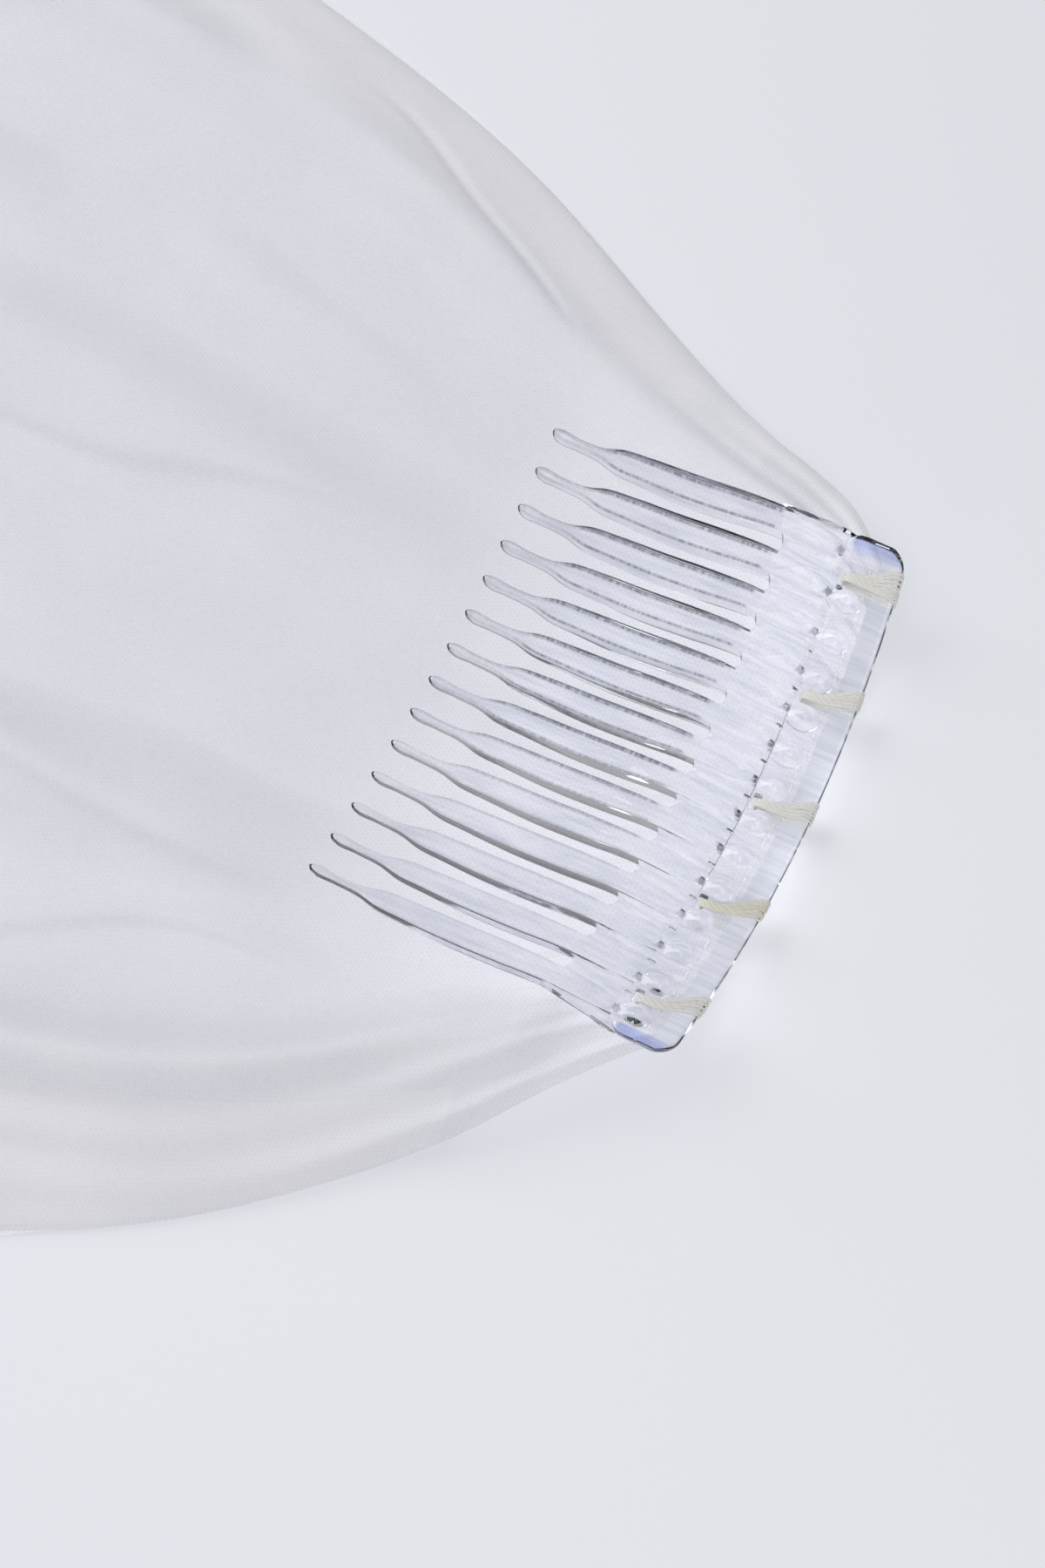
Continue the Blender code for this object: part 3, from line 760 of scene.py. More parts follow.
    def block(self, name: str, middle: np.ndarray, half: tuple[float, float, float]) -> bpy.types.Object:
        """A cutter with rounded upright edges, from its middle and half its size along each axis."""
        corner = np.array([(-1, -1), (1, -1), (1, 1), (-1, 1)], float) * np.array(half[:2])
        ring = rounded_ring(corner, self.cutter_round * half[1], self.round_steps)
        rings = np.stack([np.column_stack([ring, np.full(len(ring), z)]) for z in (-half[2], half[2])])
        return mesh_piece(name, *capped(rings + middle), self.finish)

    def cut_or_join(self, body: bpy.types.Object, others: list[bpy.types.Object], operation: str) -> None:
        """Joins other solids to a body ("UNION") or cuts them from it ("DIFFERENCE"), and removes them."""
        for other in others:
            modifier = body.modifiers.new("join", "BOOLEAN")
            modifier.operation = operation
            modifier.solver = "EXACT"
            modifier.object = other
            graph = bpy.context.evaluated_depsgraph_get()
            made = bpy.data.meshes.new_from_object(body.evaluated_get(graph))
            body.modifiers.clear()
            old = body.data
            body.data = made
            bpy.data.meshes.remove(old)
            bpy.data.objects.remove(other, do_unlink=True)

    def paint_edge_shade(self, mesh: bpy.types.Mesh) -> None:
        """Writes the attribute "edge", which places painted shade: 1 on the rounded edges of the teeth, 0
        between them.

        The distance to the crown's corner, or below the middle of the tooth's thickness to the underside's,
        is measured in the tooth's section and falls off over the width of the grey line. The lines of the
        lower teeth are fainter. The walls of the notches in front of the bumps are marked too.

        Args:
            mesh: The comb's mesh.
        """
        points = np.zeros(len(mesh.vertices) * 3, np.float32)
        mesh.vertices.foreach_get("co", points)
        x, y, z = (points.reshape(-1, 3).astype(float) - place_of_comb()).T
        teeth = SHAPE.tooth_x()
        nearest = np.abs(x[:, None] - teeth).argmin(axis=1)
        root = SHAPE.root(teeth[nearest])
        ahead = (y - root) / (1.0 - root / SHAPE.tip) / MM
        centre, crown, foot, thick = (along_table(self.tooth_section, k, ahead) * MM for k in range(1, 5))
        rise = z - SHAPE.lift(x) - centre
        across = np.abs(x - teeth[nearest]) - np.where(rise > 0.0, crown, self.underside * foot)
        away = np.hypot(across, np.abs(rise) - thick / 2)
        edge = 1.0 - smoothstep(away, self.shade_line_width[0], self.shade_line_width[1])
        starts, full_from, fades, faded = self.lines_mm
        at_tip = smoothstep(ahead, fades, faded)
        edge *= smoothstep(ahead, starts, full_from) * (1.0 - (1.0 - self.tip_lines) * at_tip)
        lowest, full, faint = self.lower_edges
        edge *= faint + (1.0 - faint) * smoothstep(x, lowest, full)
        reach, above, mark = self.notch_shade_mark
        from_notch = np.hypot(x - teeth[nearest], y - root - self.notch_ahead[0])
        edge = np.maximum(edge, mark * (from_notch < reach) * (z - SHAPE.lift(x) > above))
        layer = mesh.attributes.new("edge", "FLOAT", "POINT")
        layer.data.foreach_set("value", edge.astype(np.float32))

    def on_comb(self, x: float, ahead: float, level: float) -> np.ndarray:
        """A point at x, a distance ahead of the roots and a height above the arched comb's own base."""
        return np.array([x, SHAPE.root(x) + ahead, level + SHAPE.lift(x)])

    def build(self) -> bpy.types.Object:
        """Joins the spine, web, teeth and bumps, and cuts the notches and slots."""
        body = self.spine()
        teeth = SHAPE.tooth_x()
        parts = [self.web()]
        parts += [self.tooth(n, x) for n, x in enumerate(teeth)]
        parts += [self.bump(n, x) for n, x in enumerate(teeth) if n > 0]
        self.cut_or_join(body, parts, "UNION")
        notches = [
            self.block(f"notch_{n}", self.on_comb(x, self.notch_ahead[0], self.notch_level), self.notch)
            for n, x in enumerate(teeth)
        ]
        notches += [
            self.block(f"gap_{n}", self.on_comb(x, self.notch_ahead[1], self.notch_level), self.gap_notch)
            for n, x in enumerate(teeth[1:] + SHAPE.pitch / 2)
        ]
        slot_half = (*self.slot_half, self.slot_cut)
        slots = [
            self.block(f"slot_{n}", self.on_comb(x, -self.slot_behind, self.slot_level), slot_half)
            for n, x in enumerate(SHAPE.slot_x)
        ]
        self.cut_or_join(body, notches + slots, "DIFFERENCE")
        body.name = body.data.name = "clear_comb"
        # paints the shade lines of the bevels and notches into the attribute "edge"
        self.paint_edge_shade(body.data)
        body.data.shade_smooth()
        body.data.set_sharp_from_angle(angle=math.radians(self.sharp_from))
        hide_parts("comb")
        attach(body, BODY)
        return body


# The cloth


@dataclass(frozen=True)
class SpreadPlan:
    """Where the spread cloth lies in plan. Across is 0 at its left edge and 1 at its right edge."""

    stations: tuple = (
        # along, left_x_mm, left_y_mm, right_x_mm, right_y_mm, crown_mm
        (0.00, -38.5, -5.4, 38.5, -5.4, -2.6),
        (0.03, -47.0, 2.5, 46.0, 2.0, 0.0),
        (0.07, -60.5, 14.0, 53.0, 16.5, 2.0),
        (0.13, -81.5, 37.0, 66.0, 40.0, 6.0),
        (0.20, -97.0, 64.0, 81.5, 69.0, 9.0),
        (0.30, -113.5, 110.0, 96.5, 113.0, 12.0),
        (0.50, -138.0, 206.0, 112.0, 208.0, 18.0),
        (0.75, -172.0, 328.0, 135.0, 330.0, 28.0),
        (1.00, -205.0, 440.0, 162.0, 446.0, 48.0),
    )

    def at(self, across: np.ndarray, along: np.ndarray) -> "Spread":
        """The places in plan: on the line between the two side edges, pushed ahead by the row's crown."""
        left_x, left_y, right_x, right_y, crown = (
            along_table(self.stations, k, along) * MM for k in range(1, 6)
        )
        x = left_x + (right_x - left_x) * across
        y = left_y + (right_y - left_y) * across + crown * (1.0 - (2.0 * across - 1.0) ** 2)
        return Spread(across, along, x, y, right_x - left_x)


@dataclass(frozen=True)
class Spread:
    """The points of a laid sheet before they have a height.

    Attributes:
        across: The share of the way from the left edge to the right edge.
        along: The share of the way from the comb to the hem.
        x: Their place along the comb's spine.
        y: Their distance from the line of tooth roots.
        row: The length of each point's row.
    """

    across: np.ndarray
    along: np.ndarray
    x: np.ndarray
    y: np.ndarray
    row: np.ndarray

    def comb_lift(self) -> np.ndarray:
        """How far the raised ends of the comb hold the cloth off the table.

        It is the comb's own lift, faded out ahead of the spine and past its ends.
        """
        out = np.abs(self.x)
        ahead = 1.0 - smoothstep(self.y, 0.0, LIFT_FADES[0])
        past = 1.0 - smoothstep(out, SHAPE.half_row, SHAPE.half_row + LIFT_FADES[1])
        return SHAPE.lift(np.minimum(out, SHAPE.half_length)) * ahead * past


@dataclass(frozen=True)
class Fold:
    """One soft ridge from the comb towards the hem, with a squared cosine as its section."""

    at_comb: float
    at_mid: float
    at_hem: float
    starts: float
    half_mid_mm: float
    half_hem_mm: float
    height_mid_mm: float
    height_hem_mm: float
    places: tuple[float, float, float] = (0.0, 0.20, 1.0)
    rises_over: float = 0.12

    def height(self, at: Spread) -> np.ndarray:
        """The ridge's height in metres."""
        centre = np.interp(at.along, self.places, (self.at_comb, self.at_mid, self.at_hem))
        half_mid, height_mid = self.half_mid_mm * MM, self.height_mid_mm * MM
        half = np.interp(at.along, self.places, (half_mid / 2, half_mid, self.half_hem_mm * MM))
        height = np.interp(at.along, self.places, (height_mid, height_mid, self.height_hem_mm * MM))
        away = np.clip(np.abs(at.across - centre) * at.row / half, 0.0, 1.0)
        rise = smoothstep(at.along, self.starts, self.starts + self.rises_over)
        return height * rise * np.cos(away * math.pi / 2) ** 2


class CreaseKind(Enum):
    """How a crease's section looks."""

    RIDGE = "a rounded ridge"
    TROUGH = "a rounded trough"
    STEP = "a ridge that falls off sharply on its right side and softly on its left"


@dataclass(frozen=True)
class Crease:
    """One crease placed along a smooth line in plan."""

    kind: CreaseKind
    width_mm: float
    height_mm: float
    path_mm: tuple[tuple[float, float], ...]
    steps: int = 22
    fade: float = 0.25
    steep: float = 0.3

    def height(self, at: Spread) -> np.ndarray:
        """The crease's height in metres, below 0 in a trough.

        It is a bell curve of the distance to the crease's line, faded towards both of its ends.
        """
        path = smooth_path(np.array(self.path_mm) * MM, self.steps)
        spans = np.diff(path, axis=0)
        lengths = np.linalg.norm(spans, axis=1)
        nearest = np.full(at.x.shape, np.inf)
        where = np.zeros(at.x.shape)
        side = np.zeros(at.x.shape)
        for start, span, length, run in zip(path, spans, lengths, np.cumsum(lengths) - lengths):
            dx, dy = at.x - start[0], at.y - start[1]
            t = np.clip((dx * span[0] + dy * span[1]) / length**2, 0.0, 1.0)
            away = np.hypot(dx - t * span[0], dy - t * span[1])
            closer = away < nearest
            nearest = np.where(closer, away, nearest)
            where = np.where(closer, (run + t * length) / lengths.sum(), where)
            side = np.where(closer, np.sign(span[0] * dy - span[1] * dx), side)
        sharp = (side < 0) & (self.kind is CreaseKind.STEP)
        width = self.width_mm * MM * np.where(sharp, self.steep, 1.0)
        bell = np.exp(-((nearest / width) ** 2))
        ends = smoothstep(where, 0.0, self.fade) * (1.0 - smoothstep(where, 1.0 - self.fade, 1.0))
        sign = -1.0 if self.kind is CreaseKind.TROUGH else 1.0
        return sign * self.height_mm * MM * bell * ends


@dataclass(frozen=True)
class Wrinkles:
    """Faint waves that fan out from the comb: sines across the cloth whose phase wanders along it."""

    count: int = 12
    height: float = 0.55 * MM
    shortest: float = 9.0 * MM
    longest: float = 42.0 * MM
    wander_mm: tuple[float, float] = (50.0, 150.0)
    swing: tuple[float, float] = (0.4, 0.2)
    mean_width: float = 0.18
    seed: int = 7

    def heights(self, at: Spread) -> np.ndarray:
        """The waves' height in metres."""
        draw = np.random.default_rng(self.seed)
        total = np.zeros_like(at.across)
        for _ in range(self.count):
            length = draw.uniform(self.shortest, self.longest)
            wander = draw.uniform(*self.wander_mm) * MM
            first, second, swing = draw.uniform(0.0, WHOLE_TURN, 3)
            phase = WHOLE_TURN * at.across * self.mean_width / length + first
            phase += (self.swing[0] + self.swing[1] * swing) * np.sin(WHOLE_TURN * at.y / wander + second)
            total += np.sin(phase) * length / self.longest
        return self.height * total / math.sqrt(self.count)


PLAN = SpreadPlan()
TURN_STATIONS = (
    # along, left_shows_mm, left_reach_mm, right_shows_mm, right_reach_mm
    (0.07, -0.6, 8.0, -0.3, 6.0),
    (0.13, -0.6, 15.0, 0.0, 9.0),
    (0.18, 0.2, 19.0, 0.4, 11.0),
    (0.24, 5.0, 22.0, 0.8, 12.0),
    (0.50, 6.0, 34.0, 2.5, 24.0),
    (1.00, 6.0, 44.0, 4.0, 34.0),
)


def isometric_map(points: np.ndarray) -> np.ndarray:
    """Where a laid sheet's points lie on its flat cut.

    The plan is kept, and each row is let out by what its ripples take up: its length in space less its
    length in plan, both measured from the middle of the row.

    Args:
        points: The sheet's points (rows, columns, 3).

    Returns:
        The map (rows, columns, 2) in metres.
    """
    step = np.diff(points, axis=1)
    extra = np.linalg.norm(step, axis=-1) - np.linalg.norm(step[..., :2], axis=-1)
    extra = np.concatenate([np.zeros((len(points), 1)), np.cumsum(extra, axis=1)], axis=1)
    extra -= extra[:, [extra.shape[1] // 2]]
    return np.stack([points[..., 0] + extra, points[..., 1]], axis=-1)


def sheet_piece(
    name: str, points: np.ndarray, finish: bpy.types.Material, shift: float = 0.0
) -> bpy.types.Object:
    """A laid sheet as an open mesh that is mapped onto its flat cut.

    Args:
        name: The sheet's name.
        points: Its points (rows, columns, 3).
        finish: Its material.
        shift: How far its net is moved along both axes of the cut.

    Returns:
        The object.
    """
    uv = isometric_map(points).reshape(-1, 2) + shift
    return mesh_piece(name, points.reshape(-1, 3), grid_quads(*points.shape[:2]), finish, uv, solid=False)


FOLDS = (
    # at_comb, at_mid, at_hem, starts, half_mid_mm, half_hem_mm, height_mid_mm, height_hem_mm
    Fold(0.130, 0.135, 0.125, 0.02, 14.0, 19.0, 4.2, 11.0),
    Fold(0.300, 0.345, 0.330, 0.07, 13.0, 22.0, 4.0, 12.0),
    Fold(0.710, 0.640, 0.600, 0.10, 14.0, 22.0, 3.5, 11.0),
    Fold(0.900, 0.905, 0.880, 0.03, 9.0, 17.0, 1.6, 9.0),
    Fold(0.420, 0.470, 0.455, 0.28, 11.0, 20.0, 2.5, 8.5),
    Fold(0.230, 0.235, 0.225, 0.40, 9.0, 15.0, 2.0, 7.0),
    Fold(0.780, 0.750, 0.735, 0.30, 10.0, 20.0, 2.5, 10.0),
)
CREASES = (
    # beside the upper edge: a broad light ridge, a thin crease on its outer side, a valley on its inner side
    Crease(
        CreaseKind.RIDGE, 5.0, 1.0,
        ((95.0, 136.0), (88.9, 121.4), (80.5, 102.2), (71.0, 82.9), (60.4, 63.7), (51.7, 45.8)),
    ),
    Crease(
        CreaseKind.TROUGH, 0.9, 0.6,
        ((86.0, 101.0), (80.6, 87.9), (72.3, 75.2), (64.7, 61.7), (55.5, 47.7)),
    ),
    Crease(
        CreaseKind.TROUGH, 4.5, 0.5,
        ((84.0, 132.0), (76.3, 114.5), (66.6, 91.9), (56.0, 69.6)),
    ),
    Crease(
        CreaseKind.RIDGE, 3.5, 0.5,
        ((50.0, 118.0), (46.7, 98.3), (43.0, 79.5), (39.0, 58.0)),
    ),
    # the first fold line above the teeth
    Crease(
        CreaseKind.STEP, 4.0, 0.9,
        ((9.4, 150.0), (9.4, 121.8), (10.4, 100.0), (14.1, 85.4), (16.7, 70.3), (19.6, 50.3)),
    ),
    # the bluish fold edge that ends at the lowest tooth
    Crease(
        CreaseKind.STEP, 4.5, 1.4,
        ((-37.0, 130.0), (-38.4, 92.9), (-39.6, 76.2), (-38.7, 53.4), (-36.0, 44.0)),
    ),
    # the soft line that sweeps round towards the lower end of the comb
    Crease(
        CreaseKind.STEP, 3.5, 1.1,
        ((-66.0, 95.0), (-59.2, 79.7), (-54.3, 71.9), (-50.0, 63.7),
         (-47.5, 54.4), (-46.8, 45.4), (-48.1, 32.0)),
    ),
    # the bright roll below it and two lesser ones that run along the lower edge
    Crease(
        CreaseKind.RIDGE, 4.5, 2.6,
        ((-78.0, 92.0), (-74.5, 78.0), (-72.5, 62.8), (-67.1, 48.6),
         (-59.6, 36.0), (-51.3, 25.0), (-43.7, 14.9), (-37.0, 5.0)),
    ),
    Crease(
        CreaseKind.RIDGE, 2.8, 1.2,
        ((-88.0, 82.0), (-82.8, 65.4), (-77.3, 49.2), (-68.9, 34.7),
         (-58.0, 21.5), (-45.4, 9.0), (-38.0, 1.0)),
    ),
    Crease(
        CreaseKind.RIDGE, 2.4, 0.8,
        ((-94.0, 80.0), (-88.5, 61.9), (-82.4, 46.3), (-73.4, 32.3), (-62.0, 19.4), (-48.5, 7.4)),
    ),
    Crease(
        CreaseKind.TROUGH, 2.2, 0.7,
        ((-84.0, 84.0), (-78.5, 65.0), (-72.5, 49.2), (-64.0, 35.2), (-54.5, 23.5), (-44.5, 12.0)),
    ),
)


@dataclass
class UpperLayer:
    """The spread cloth itself, from the gathers under the spine to the cut hem."""

    finish: bpy.types.Material
    columns: int = 328
    rows: int = 290
    crowding: float = 1.35
    rests: float = 0.35 * MM
    layer_below: float = 1.5 * MM
    edge_low: float = 0.6 * MM
    edge_curl: float = 3.4 * MM
    gather_height: float = 0.55 * MM
    gather_fades: tuple[float, float] = (0.03, 0.13)
    gathered_mm: float = 77.0
    gather_waves: tuple = (
        # period_mm, share, phase
        (5.6, 0.5, 0.0),
        (3.7, 0.3, 1.1),
        (2.3, 0.2, 2.6),
    )
    gather_bend: tuple[float, float] = (0.9, 7.0)
    wrinkles_start: tuple[float, float] = (0.05, 0.16)
    wrinkles_grow: tuple[float, float] = (0.6, 0.8)
    turn_margin: float = 2.5 * MM
    turn_slope: float = 9.0 * MM
    turn_starts: tuple[float, float] = (0.035, 0.012)
    wrinkles: Wrinkles = Wrinkles()
    folds: tuple[Fold, ...] = FOLDS
    creases: tuple[Crease, ...] = CREASES

    def height(self, at: Spread) -> np.ndarray:
        """The cloth's height: its rest, folds, creases, gathers and wrinkles, curled down at both edges."""
        height = self.support(at)
        for line in (*self.folds, *self.creases):
            height += line.height(at)
        height += self.gathers(at)
        least, more = self.wrinkles_grow
        soft = smoothstep(at.along, *self.wrinkles_start)
        height += self.wrinkles.heights(at) * soft * (least + more * at.along)
        height = self.rests + np.maximum(height, 0.0)
        edge = np.minimum(at.across, 1.0 - at.across) * at.row / self.edge_curl
        curl = np.sqrt(1.0 - (1.0 - np.clip(edge, 0.0, 1.0)) ** 2)
        low = np.where(at.along > TURN_STATIONS[0][0], self.edge_low, self.rests)
        return at.comb_lift() + low + (height - low) * curl

    def support(self, at: Spread) -> np.ndarray:
        """How far the turned-under stretches hold the cloth up, in metres."""
        starts = TURN_STATIONS[0][0]
        raised = np.zeros_like(at.across)
        for column, distance in ((2, at.across * at.row), (4, (1.0 - at.across) * at.row)):
            reach = along_table(TURN_STATIONS, column, at.along) * MM + self.turn_margin
            raised = np.maximum(raised, 1.0 - smoothstep(distance, reach, reach + self.turn_slope))
        before, full = self.turn_starts
        return self.layer_below * raised * smoothstep(at.along, starts - before, starts - full)

    def gathers(self, at: Spread) -> np.ndarray:
        """The small gathers at the sewn edge, in metres: three sines of unlike periods that fade along it."""
        sewn = (at.across - 0.5) * self.gathered_mm
        swing, over = self.gather_bend
        total = np.zeros_like(at.across)
        for period, share, phase in self.gather_waves:
            bend = phase + swing * np.sin(sewn / over + phase)
            total += share * (1.0 - np.cos(WHOLE_TURN * sewn / period + bend))
        return self.gather_height * total * (1.0 - smoothstep(at.along, *self.gather_fades))

    def build(self) -> bpy.types.Object:
        """The sheet, in the place of the upper layer's solid."""
        along = np.linspace(0.0, 1.0, self.rows) ** self.crowding
        at = PLAN.at(*np.meshgrid(np.linspace(0.0, 1.0, self.columns), along))
        sheet = sheet_piece("veil_upper_layer", np.stack([at.x, at.y, self.height(at)], axis=-1), self.finish)
        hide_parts("tulle_upper_layer")
        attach(sheet, BODY)
        return sheet


@dataclass
class TurnedStrip:
    """One stretch of the cloth that is turned under along a side and lies flat on the table."""

    finish: bpy.types.Material
    left: bool
    flat: tuple[float, float]
    area: float
    columns: int = 30
    rows: int = 240
    rests: float = 0.25 * MM
    ripple: float = 0.08 * MM
    ripple_length: float = 7.0 * MM
    ripple_drift: float = 40.0
    ends: float = 0.992
    net_shift: float = 0.31 * MM

    def build(self) -> bpy.types.Object:
        """The strip: from a little past the upper layer's edge to its reach below it, with faint ripples."""
        side = "left" if self.left else "right"
        starts = TURN_STATIONS[0][0]
        along = starts + (self.ends - starts) * np.linspace(0.0, 1.0, self.rows)
        inwards, along = np.meshgrid(np.linspace(0.0, 1.0, self.columns), along)
        shows = along_table(TURN_STATIONS, 1 if self.left else 3, along) * MM
        reach = along_table(TURN_STATIONS, 2 if self.left else 4, along) * MM
        across = (-shows + inwards * (shows + reach)) / PLAN.at(inwards, along).row
        at = PLAN.at(across if self.left else 1.0 - across, along)
        waves = np.sin(WHOLE_TURN * inwards * reach / self.ripple_length + self.ripple_drift * along)
        z = at.comb_lift() + self.rests + self.ripple * waves
        points = np.stack([at.x, at.y, z], axis=-1)
        if not self.left:
            points = points[:, ::-1]
        sheet = sheet_piece(f"veil_turned_{side}", points, self.finish, self.net_shift)
        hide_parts(f"tulle_turned_{side}")
        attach(sheet, BODY)
        return sheet


# The sewing


LASHINGS_OUTER = (
    # where each lashing crosses the spine's outer edge: x_mm, half_width_mm
    (34.9, 2.00),
    (19.0, 1.35),
    (1.8, 1.40),
    (-13.9, 1.20),
    (-30.8, 1.35),
)


@dataclass
class Lashing:
    """One wrap of sewing thread: strands that fan out from a slot, over the spine and back below it."""

    finish: bpy.types.Material
    number: int
    slot_x: float
    outer_x: float
    half_outer: float
    strands: int = 13
    strand_radius: float = 0.12 * MM
    half_at_slot: float = 0.5 * MM
    drift: float = 0.16 * MM
    raised_mm: float = 0.14
    thickness: tuple[float, float] = (0.9, 1.1)
    twist_shift: float = 0.13 * MM
    samples: int = 90
    around: int = 8
    loop_mm: tuple = (
        # behind_mm, height_mm, share
        (-1.25, 3.00, 0.00),
        (-1.40, 3.95, 0.00),
        (-2.10, 4.12, 0.02),
        (-3.60, 4.11, 0.10),
        (-5.50, 4.10, 0.42),
        (-8.40, 4.08, 0.98),
        (-9.05, 3.85, 1.00),
        (-9.22, 3.05, 1.00),
        (-9.05, 2.25, 1.00),
        (-8.40, 2.01, 0.95),
        (-5.50, 1.99, 0.45),
        (-2.10, 1.99, 0.02),
        (-1.40, 2.15, 0.00),
        (-1.25, 3.00, 0.00),
    )

    def build(self) -> bpy.types.Object:
        """Each strand is a ring of points carried round one closed loop, with its own drift sideways."""
        draw = np.random.default_rng(self.number)
        table = np.array(self.loop_mm)
        line = smooth_path(table, self.samples + 1)[:-1]
        line[:, :2] *= MM
        ahead = np.roll(line[:, :2], -1, axis=0) - np.roll(line[:, :2], 1, axis=0)
        ahead /= np.linalg.norm(ahead, axis=1, keepdims=True)
        out = np.stack([-ahead[:, 1], ahead[:, 0]], axis=1)
        run = np.concatenate([[0.0], np.cumsum(np.linalg.norm(np.diff(line[:, :2], axis=0), axis=1))])
        turn = np.linspace(0.0, WHOLE_TURN, self.around, endpoint=False)
        points, faces, uv = [], [], []
        share = np.linspace(-1.0, 1.0, self.strands)
        for k, place in enumerate(share):
            half = self.half_at_slot + (self.half_outer - self.half_at_slot) * line[:, 2]
            swing = np.sin(WHOLE_TURN * run / run[-1] * draw.integers(1, 3) + draw.uniform(0, 6))
            drift = self.drift * line[:, 2] * swing
            sideways = self.slot_x + (self.outer_x - self.slot_x) * line[:, 2] + place * half + drift
            raised = draw.uniform(0.0, self.raised_mm) * MM * line[:, 2]
            radius = self.strand_radius * draw.uniform(*self.thickness)
            middle = line[:, :2] + out * raised[:, None]
            px = sideways[:, None] + radius * np.cos(turn)
            rim = radius * np.sin(turn)
            py = SHAPE.root(px) + middle[:, :1] + out[:, :1] * rim
            pz = SHAPE.lift(px) + middle[:, 1:] + out[:, 1:] * rim
            points.append(np.stack([px, py, pz], axis=-1).reshape(-1, 3))
            faces.append(grid_quads(self.samples, self.around, wrap=True, wrap_rows=True) + k * px.size)
            map_u = np.broadcast_to(run[:, None], px.shape) + self.twist_shift * k
            map_v = np.broadcast_to(turn / WHOLE_TURN, px.shape)
            uv.append(np.stack([map_u, map_v], axis=-1).reshape(-1, 2))
        piece = mesh_piece(
            f"lashing_strands_{self.number}", np.concatenate(points), np.concatenate(faces), self.finish,
            np.concatenate(uv),
        )
        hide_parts(f"thread_lashing_{self.number}")
        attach(piece, BODY)
        return piece


@dataclass
class GatherStitches:
    """The running stitches that gather the cloth's sewn edge, one small bowed stitch after another."""

    finish: bpy.types.Material
    count: int = 26
    length: float = 1.8 * MM
    radius: float = 0.16 * MM
    behind: float = 4.6 * MM
    height: float = 1.75 * MM
    bow: float = 0.25 * MM
    half_row: float = 36.0 * MM
    end_power: int = 8
    end_least: float = 0.02
    samples: int = 8
    around: int = 6

    def build(self) -> bpy.types.Object:
        """Stitches: a round section whose radius follows a half ellipse along a shallow bow."""
        middle = np.linspace(-self.half_row, self.half_row, self.count)
        share = np.linspace(-1.0, 1.0, self.samples)
        turn = np.linspace(0.0, WHOLE_TURN, self.around, endpoint=False)
        radius = self.radius * np.sqrt(np.maximum(1.0 - share**self.end_power, self.end_least))
        x = middle[:, None, None] + share[None, :, None] * self.length / 2 + 0.0 * turn
        rise = self.bow * (1.0 - share**2)[None, :, None]
        y = SHAPE.root(x) - self.behind + radius[None, :, None] * np.cos(turn)
        z = SHAPE.lift(x) + self.height - self.bow + rise + radius[None, :, None] * np.sin(turn)
        points, faces = [], []
        for n in range(self.count):
            part, part_faces = capped(np.stack([x[n], y[n], z[n]], axis=-1))
            faces.extend([[corner + n * len(part) for corner in face] for face in part_faces])
            points.append(part)
        points = np.concatenate(points)
        uv = np.stack([points[:, 0], np.zeros(len(points))], axis=-1)
        piece = mesh_piece("gather_stitches", points, faces, self.finish, uv)
        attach(piece, BODY)
        return piece


# The studio


def hang(name: str, data: bpy.types.ID, aim: Vector, towards: tuple, distance: float) -> bpy.types.Object:
    """Hangs a lamp or a camera at a distance from the point that it faces.

    Args:
        name: Its name.
        data: The lamp's or camera's data.
        aim: The point.
        towards: The direction from the point to it.
        distance: How far it is from the point.

    Returns:
        The object.
    """
    out = Vector(towards).normalized()
    hung = bpy.data.objects.new(name, data)
    hung.location = aim + out * distance
    hung.rotation_mode = "QUATERNION"
    hung.rotation_quaternion = out.to_track_quat("Z", "Y")
    bpy.context.scene.collection.objects.link(hung)
    return hung


@dataclass(frozen=True)
class SoftLamp:
    """One square softbox, aimed at the comb."""

    name: str
    towards: tuple[float, float, float]
    distance: float
    size: float
    watts: float
    colour: tuple[float, float, float] = (1.0, 1.0, 1.0)

    def build(self, aim: Vector) -> None:
        """Hangs the lamp so that it faces a point."""
        data = bpy.data.lights.new(self.name, "AREA")
        data.shape = "SQUARE"
        data.size = self.size
        data.energy = self.watts
        data.color = self.colour
        hang(self.name, data, aim, self.towards, self.distance)


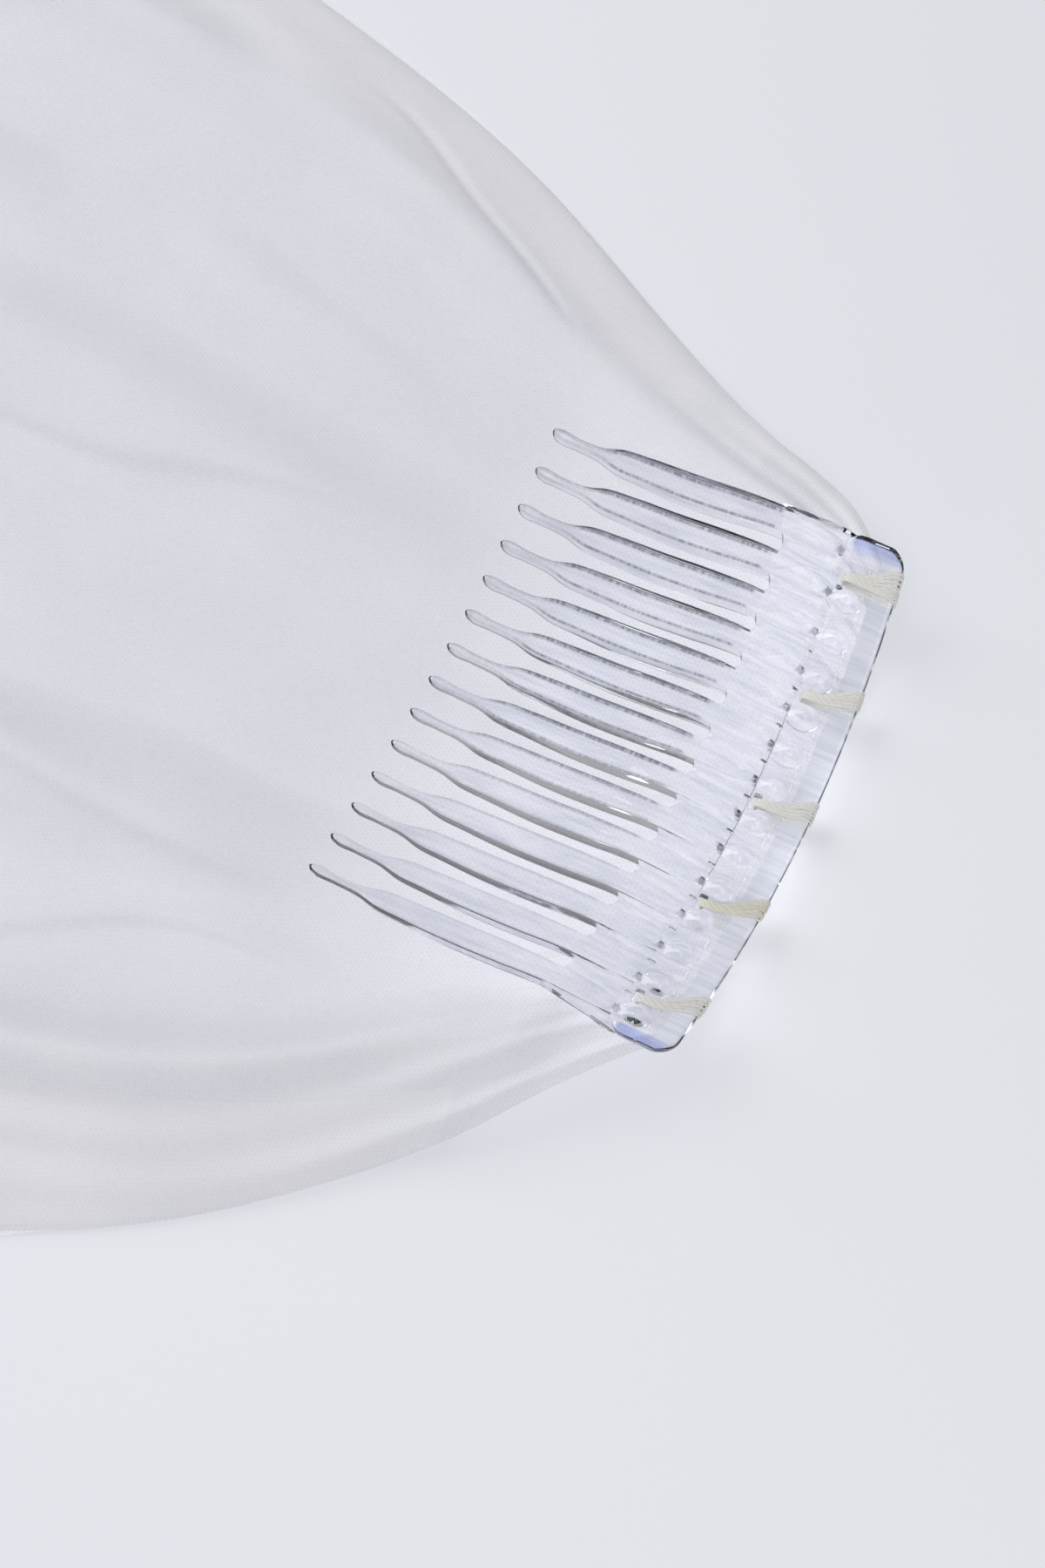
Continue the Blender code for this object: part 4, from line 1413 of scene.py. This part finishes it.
@dataclass
class Studio:
    """A pale table, soft light from the hem's side and above, and the camera at the photograph's angle."""

    table: bpy.types.Material
    table_size: float = 6.0
    lens_mm: float = 50.0
    azimuth: float = 63.8
    elevation: float = 68.0
    distance: float = 0.2988
    clip_start: float = 0.01
    aim_mm: tuple[float, float, float] = (-10.4, 26.2, 0.6)
    sky: str = "#FFFFFF"
    horizon: str = "#656A73"
    sky_strength: float = 0.40
    sky_from: tuple[float, float] = (0.05, 0.85)
    lamps: tuple[SoftLamp, ...] = (
        SoftLamp("key_softbox", (0.25, 0.95, 0.66), 1.4, 1.1, 11.4),
        SoftLamp("top_softbox", (-0.6, -0.5, 1.0), 1.05, 1.1, 4.9, (1.0, 0.99, 0.98)),
        SoftLamp("small_strobe", (0.65, 0.55, 0.55), 1.6, 0.14, 0.8),
        SoftLamp("low_strip", (-0.93, 0.16, 0.30), 1.5, 0.5, 1.6),
    )

    def build(self) -> None:
        """Sets up the table, the light and the camera."""
        aim = Vector(place_of_comb()) + Vector(self.aim_mm) * MM
        self.floor()
        self.world()
        for lamp in self.lamps:
            lamp.build(aim)
        self.camera(aim)
        bpy.context.scene.view_settings.view_transform = "Standard"

    def floor(self) -> None:
        """The table's flat face, at the height that the veil rests on."""
        half = self.table_size / 2
        corners = np.array([(-half, -half), (half, -half), (half, half), (-half, half)])
        points = np.column_stack([corners, np.full(4, CAD_BOX[0].z)])
        board = mesh_piece("table_board", points, [[0, 1, 2, 3]], self.table, solid=False)

    def world(self) -> None:
        """Soft light from all round, bright overhead and greyer towards the horizon."""
        world = bpy.data.worlds.new("studio")
        world.use_nodes = True
        tree = world.node_tree
        direction = add_node(tree, "ShaderNodeTexCoord").outputs["Generated"]
        split = add_node(tree, "ShaderNodeSeparateXYZ", {0: direction})
        height = ramp(tree, split.outputs["Z"], *self.sky_from, curve="SMOOTHSTEP")
        colour = blend(tree, height, self.horizon, self.sky)
        fill(tree.nodes["Background"], {"Color": colour, "Strength": self.sky_strength})
        bpy.context.scene.world = world

    def camera(self, aim: Vector) -> None:
        """Hangs the camera at the photograph's angles, with a point in the middle of its view."""
        turn, rise = math.radians(self.azimuth), math.radians(self.elevation)
        back = (-math.sin(turn) * math.cos(rise), -math.cos(turn) * math.cos(rise), math.sin(rise))
        data = bpy.data.cameras.new("photograph")
        data.lens = self.lens_mm
        data.clip_start = self.clip_start
        bpy.context.scene.camera = hang("photograph", data, aim, back, self.distance)


def main() -> None:
    """Builds the veil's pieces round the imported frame, in order, and reports each one."""
    logging.basicConfig(level=logging.INFO, format="%(name)s: %(message)s")
    Studio(PaintedBoard().material()).build()
    tulle = NylonTulle().material()
    # painted light: the lower layer is paler, against the shade of the cloth on it, so two layers look as
    # white as one
    turned = NylonTulle("nylon_tulle_turned_under_painted_paler", "#FCFCFE", "#F6F6FA").material()
    thread = SewingThread().material()
    warm_thread = SewingThread("polyester_thread_warm_ivory", "#EEECE0", "#E0DDCC").material()
    pieces = [
        TurnedStrip(turned, True, (0.05, 0.50), 0.0184).build(),
        TurnedStrip(turned, False, (0.038, 0.48), 0.0122).build(),
        UpperLayer(tulle).build(),
        ClearComb(ClearPlastic().material()).build(),
    ]
    for number, (slot_x, (outer_mm, half_mm)) in enumerate(zip(SHAPE.slot_x, LASHINGS_OUTER), start=1):
        yarn = warm_thread if number == 4 else thread
        pieces.append(Lashing(yarn, number, slot_x, outer_mm * MM, half_mm * MM).build())
    pieces.append(GatherStitches(thread).build())
    for piece in pieces:
        LOG.info("%s: %d faces", piece.name, len(piece.data.polygons))


if __name__ == "__main__":
    main()
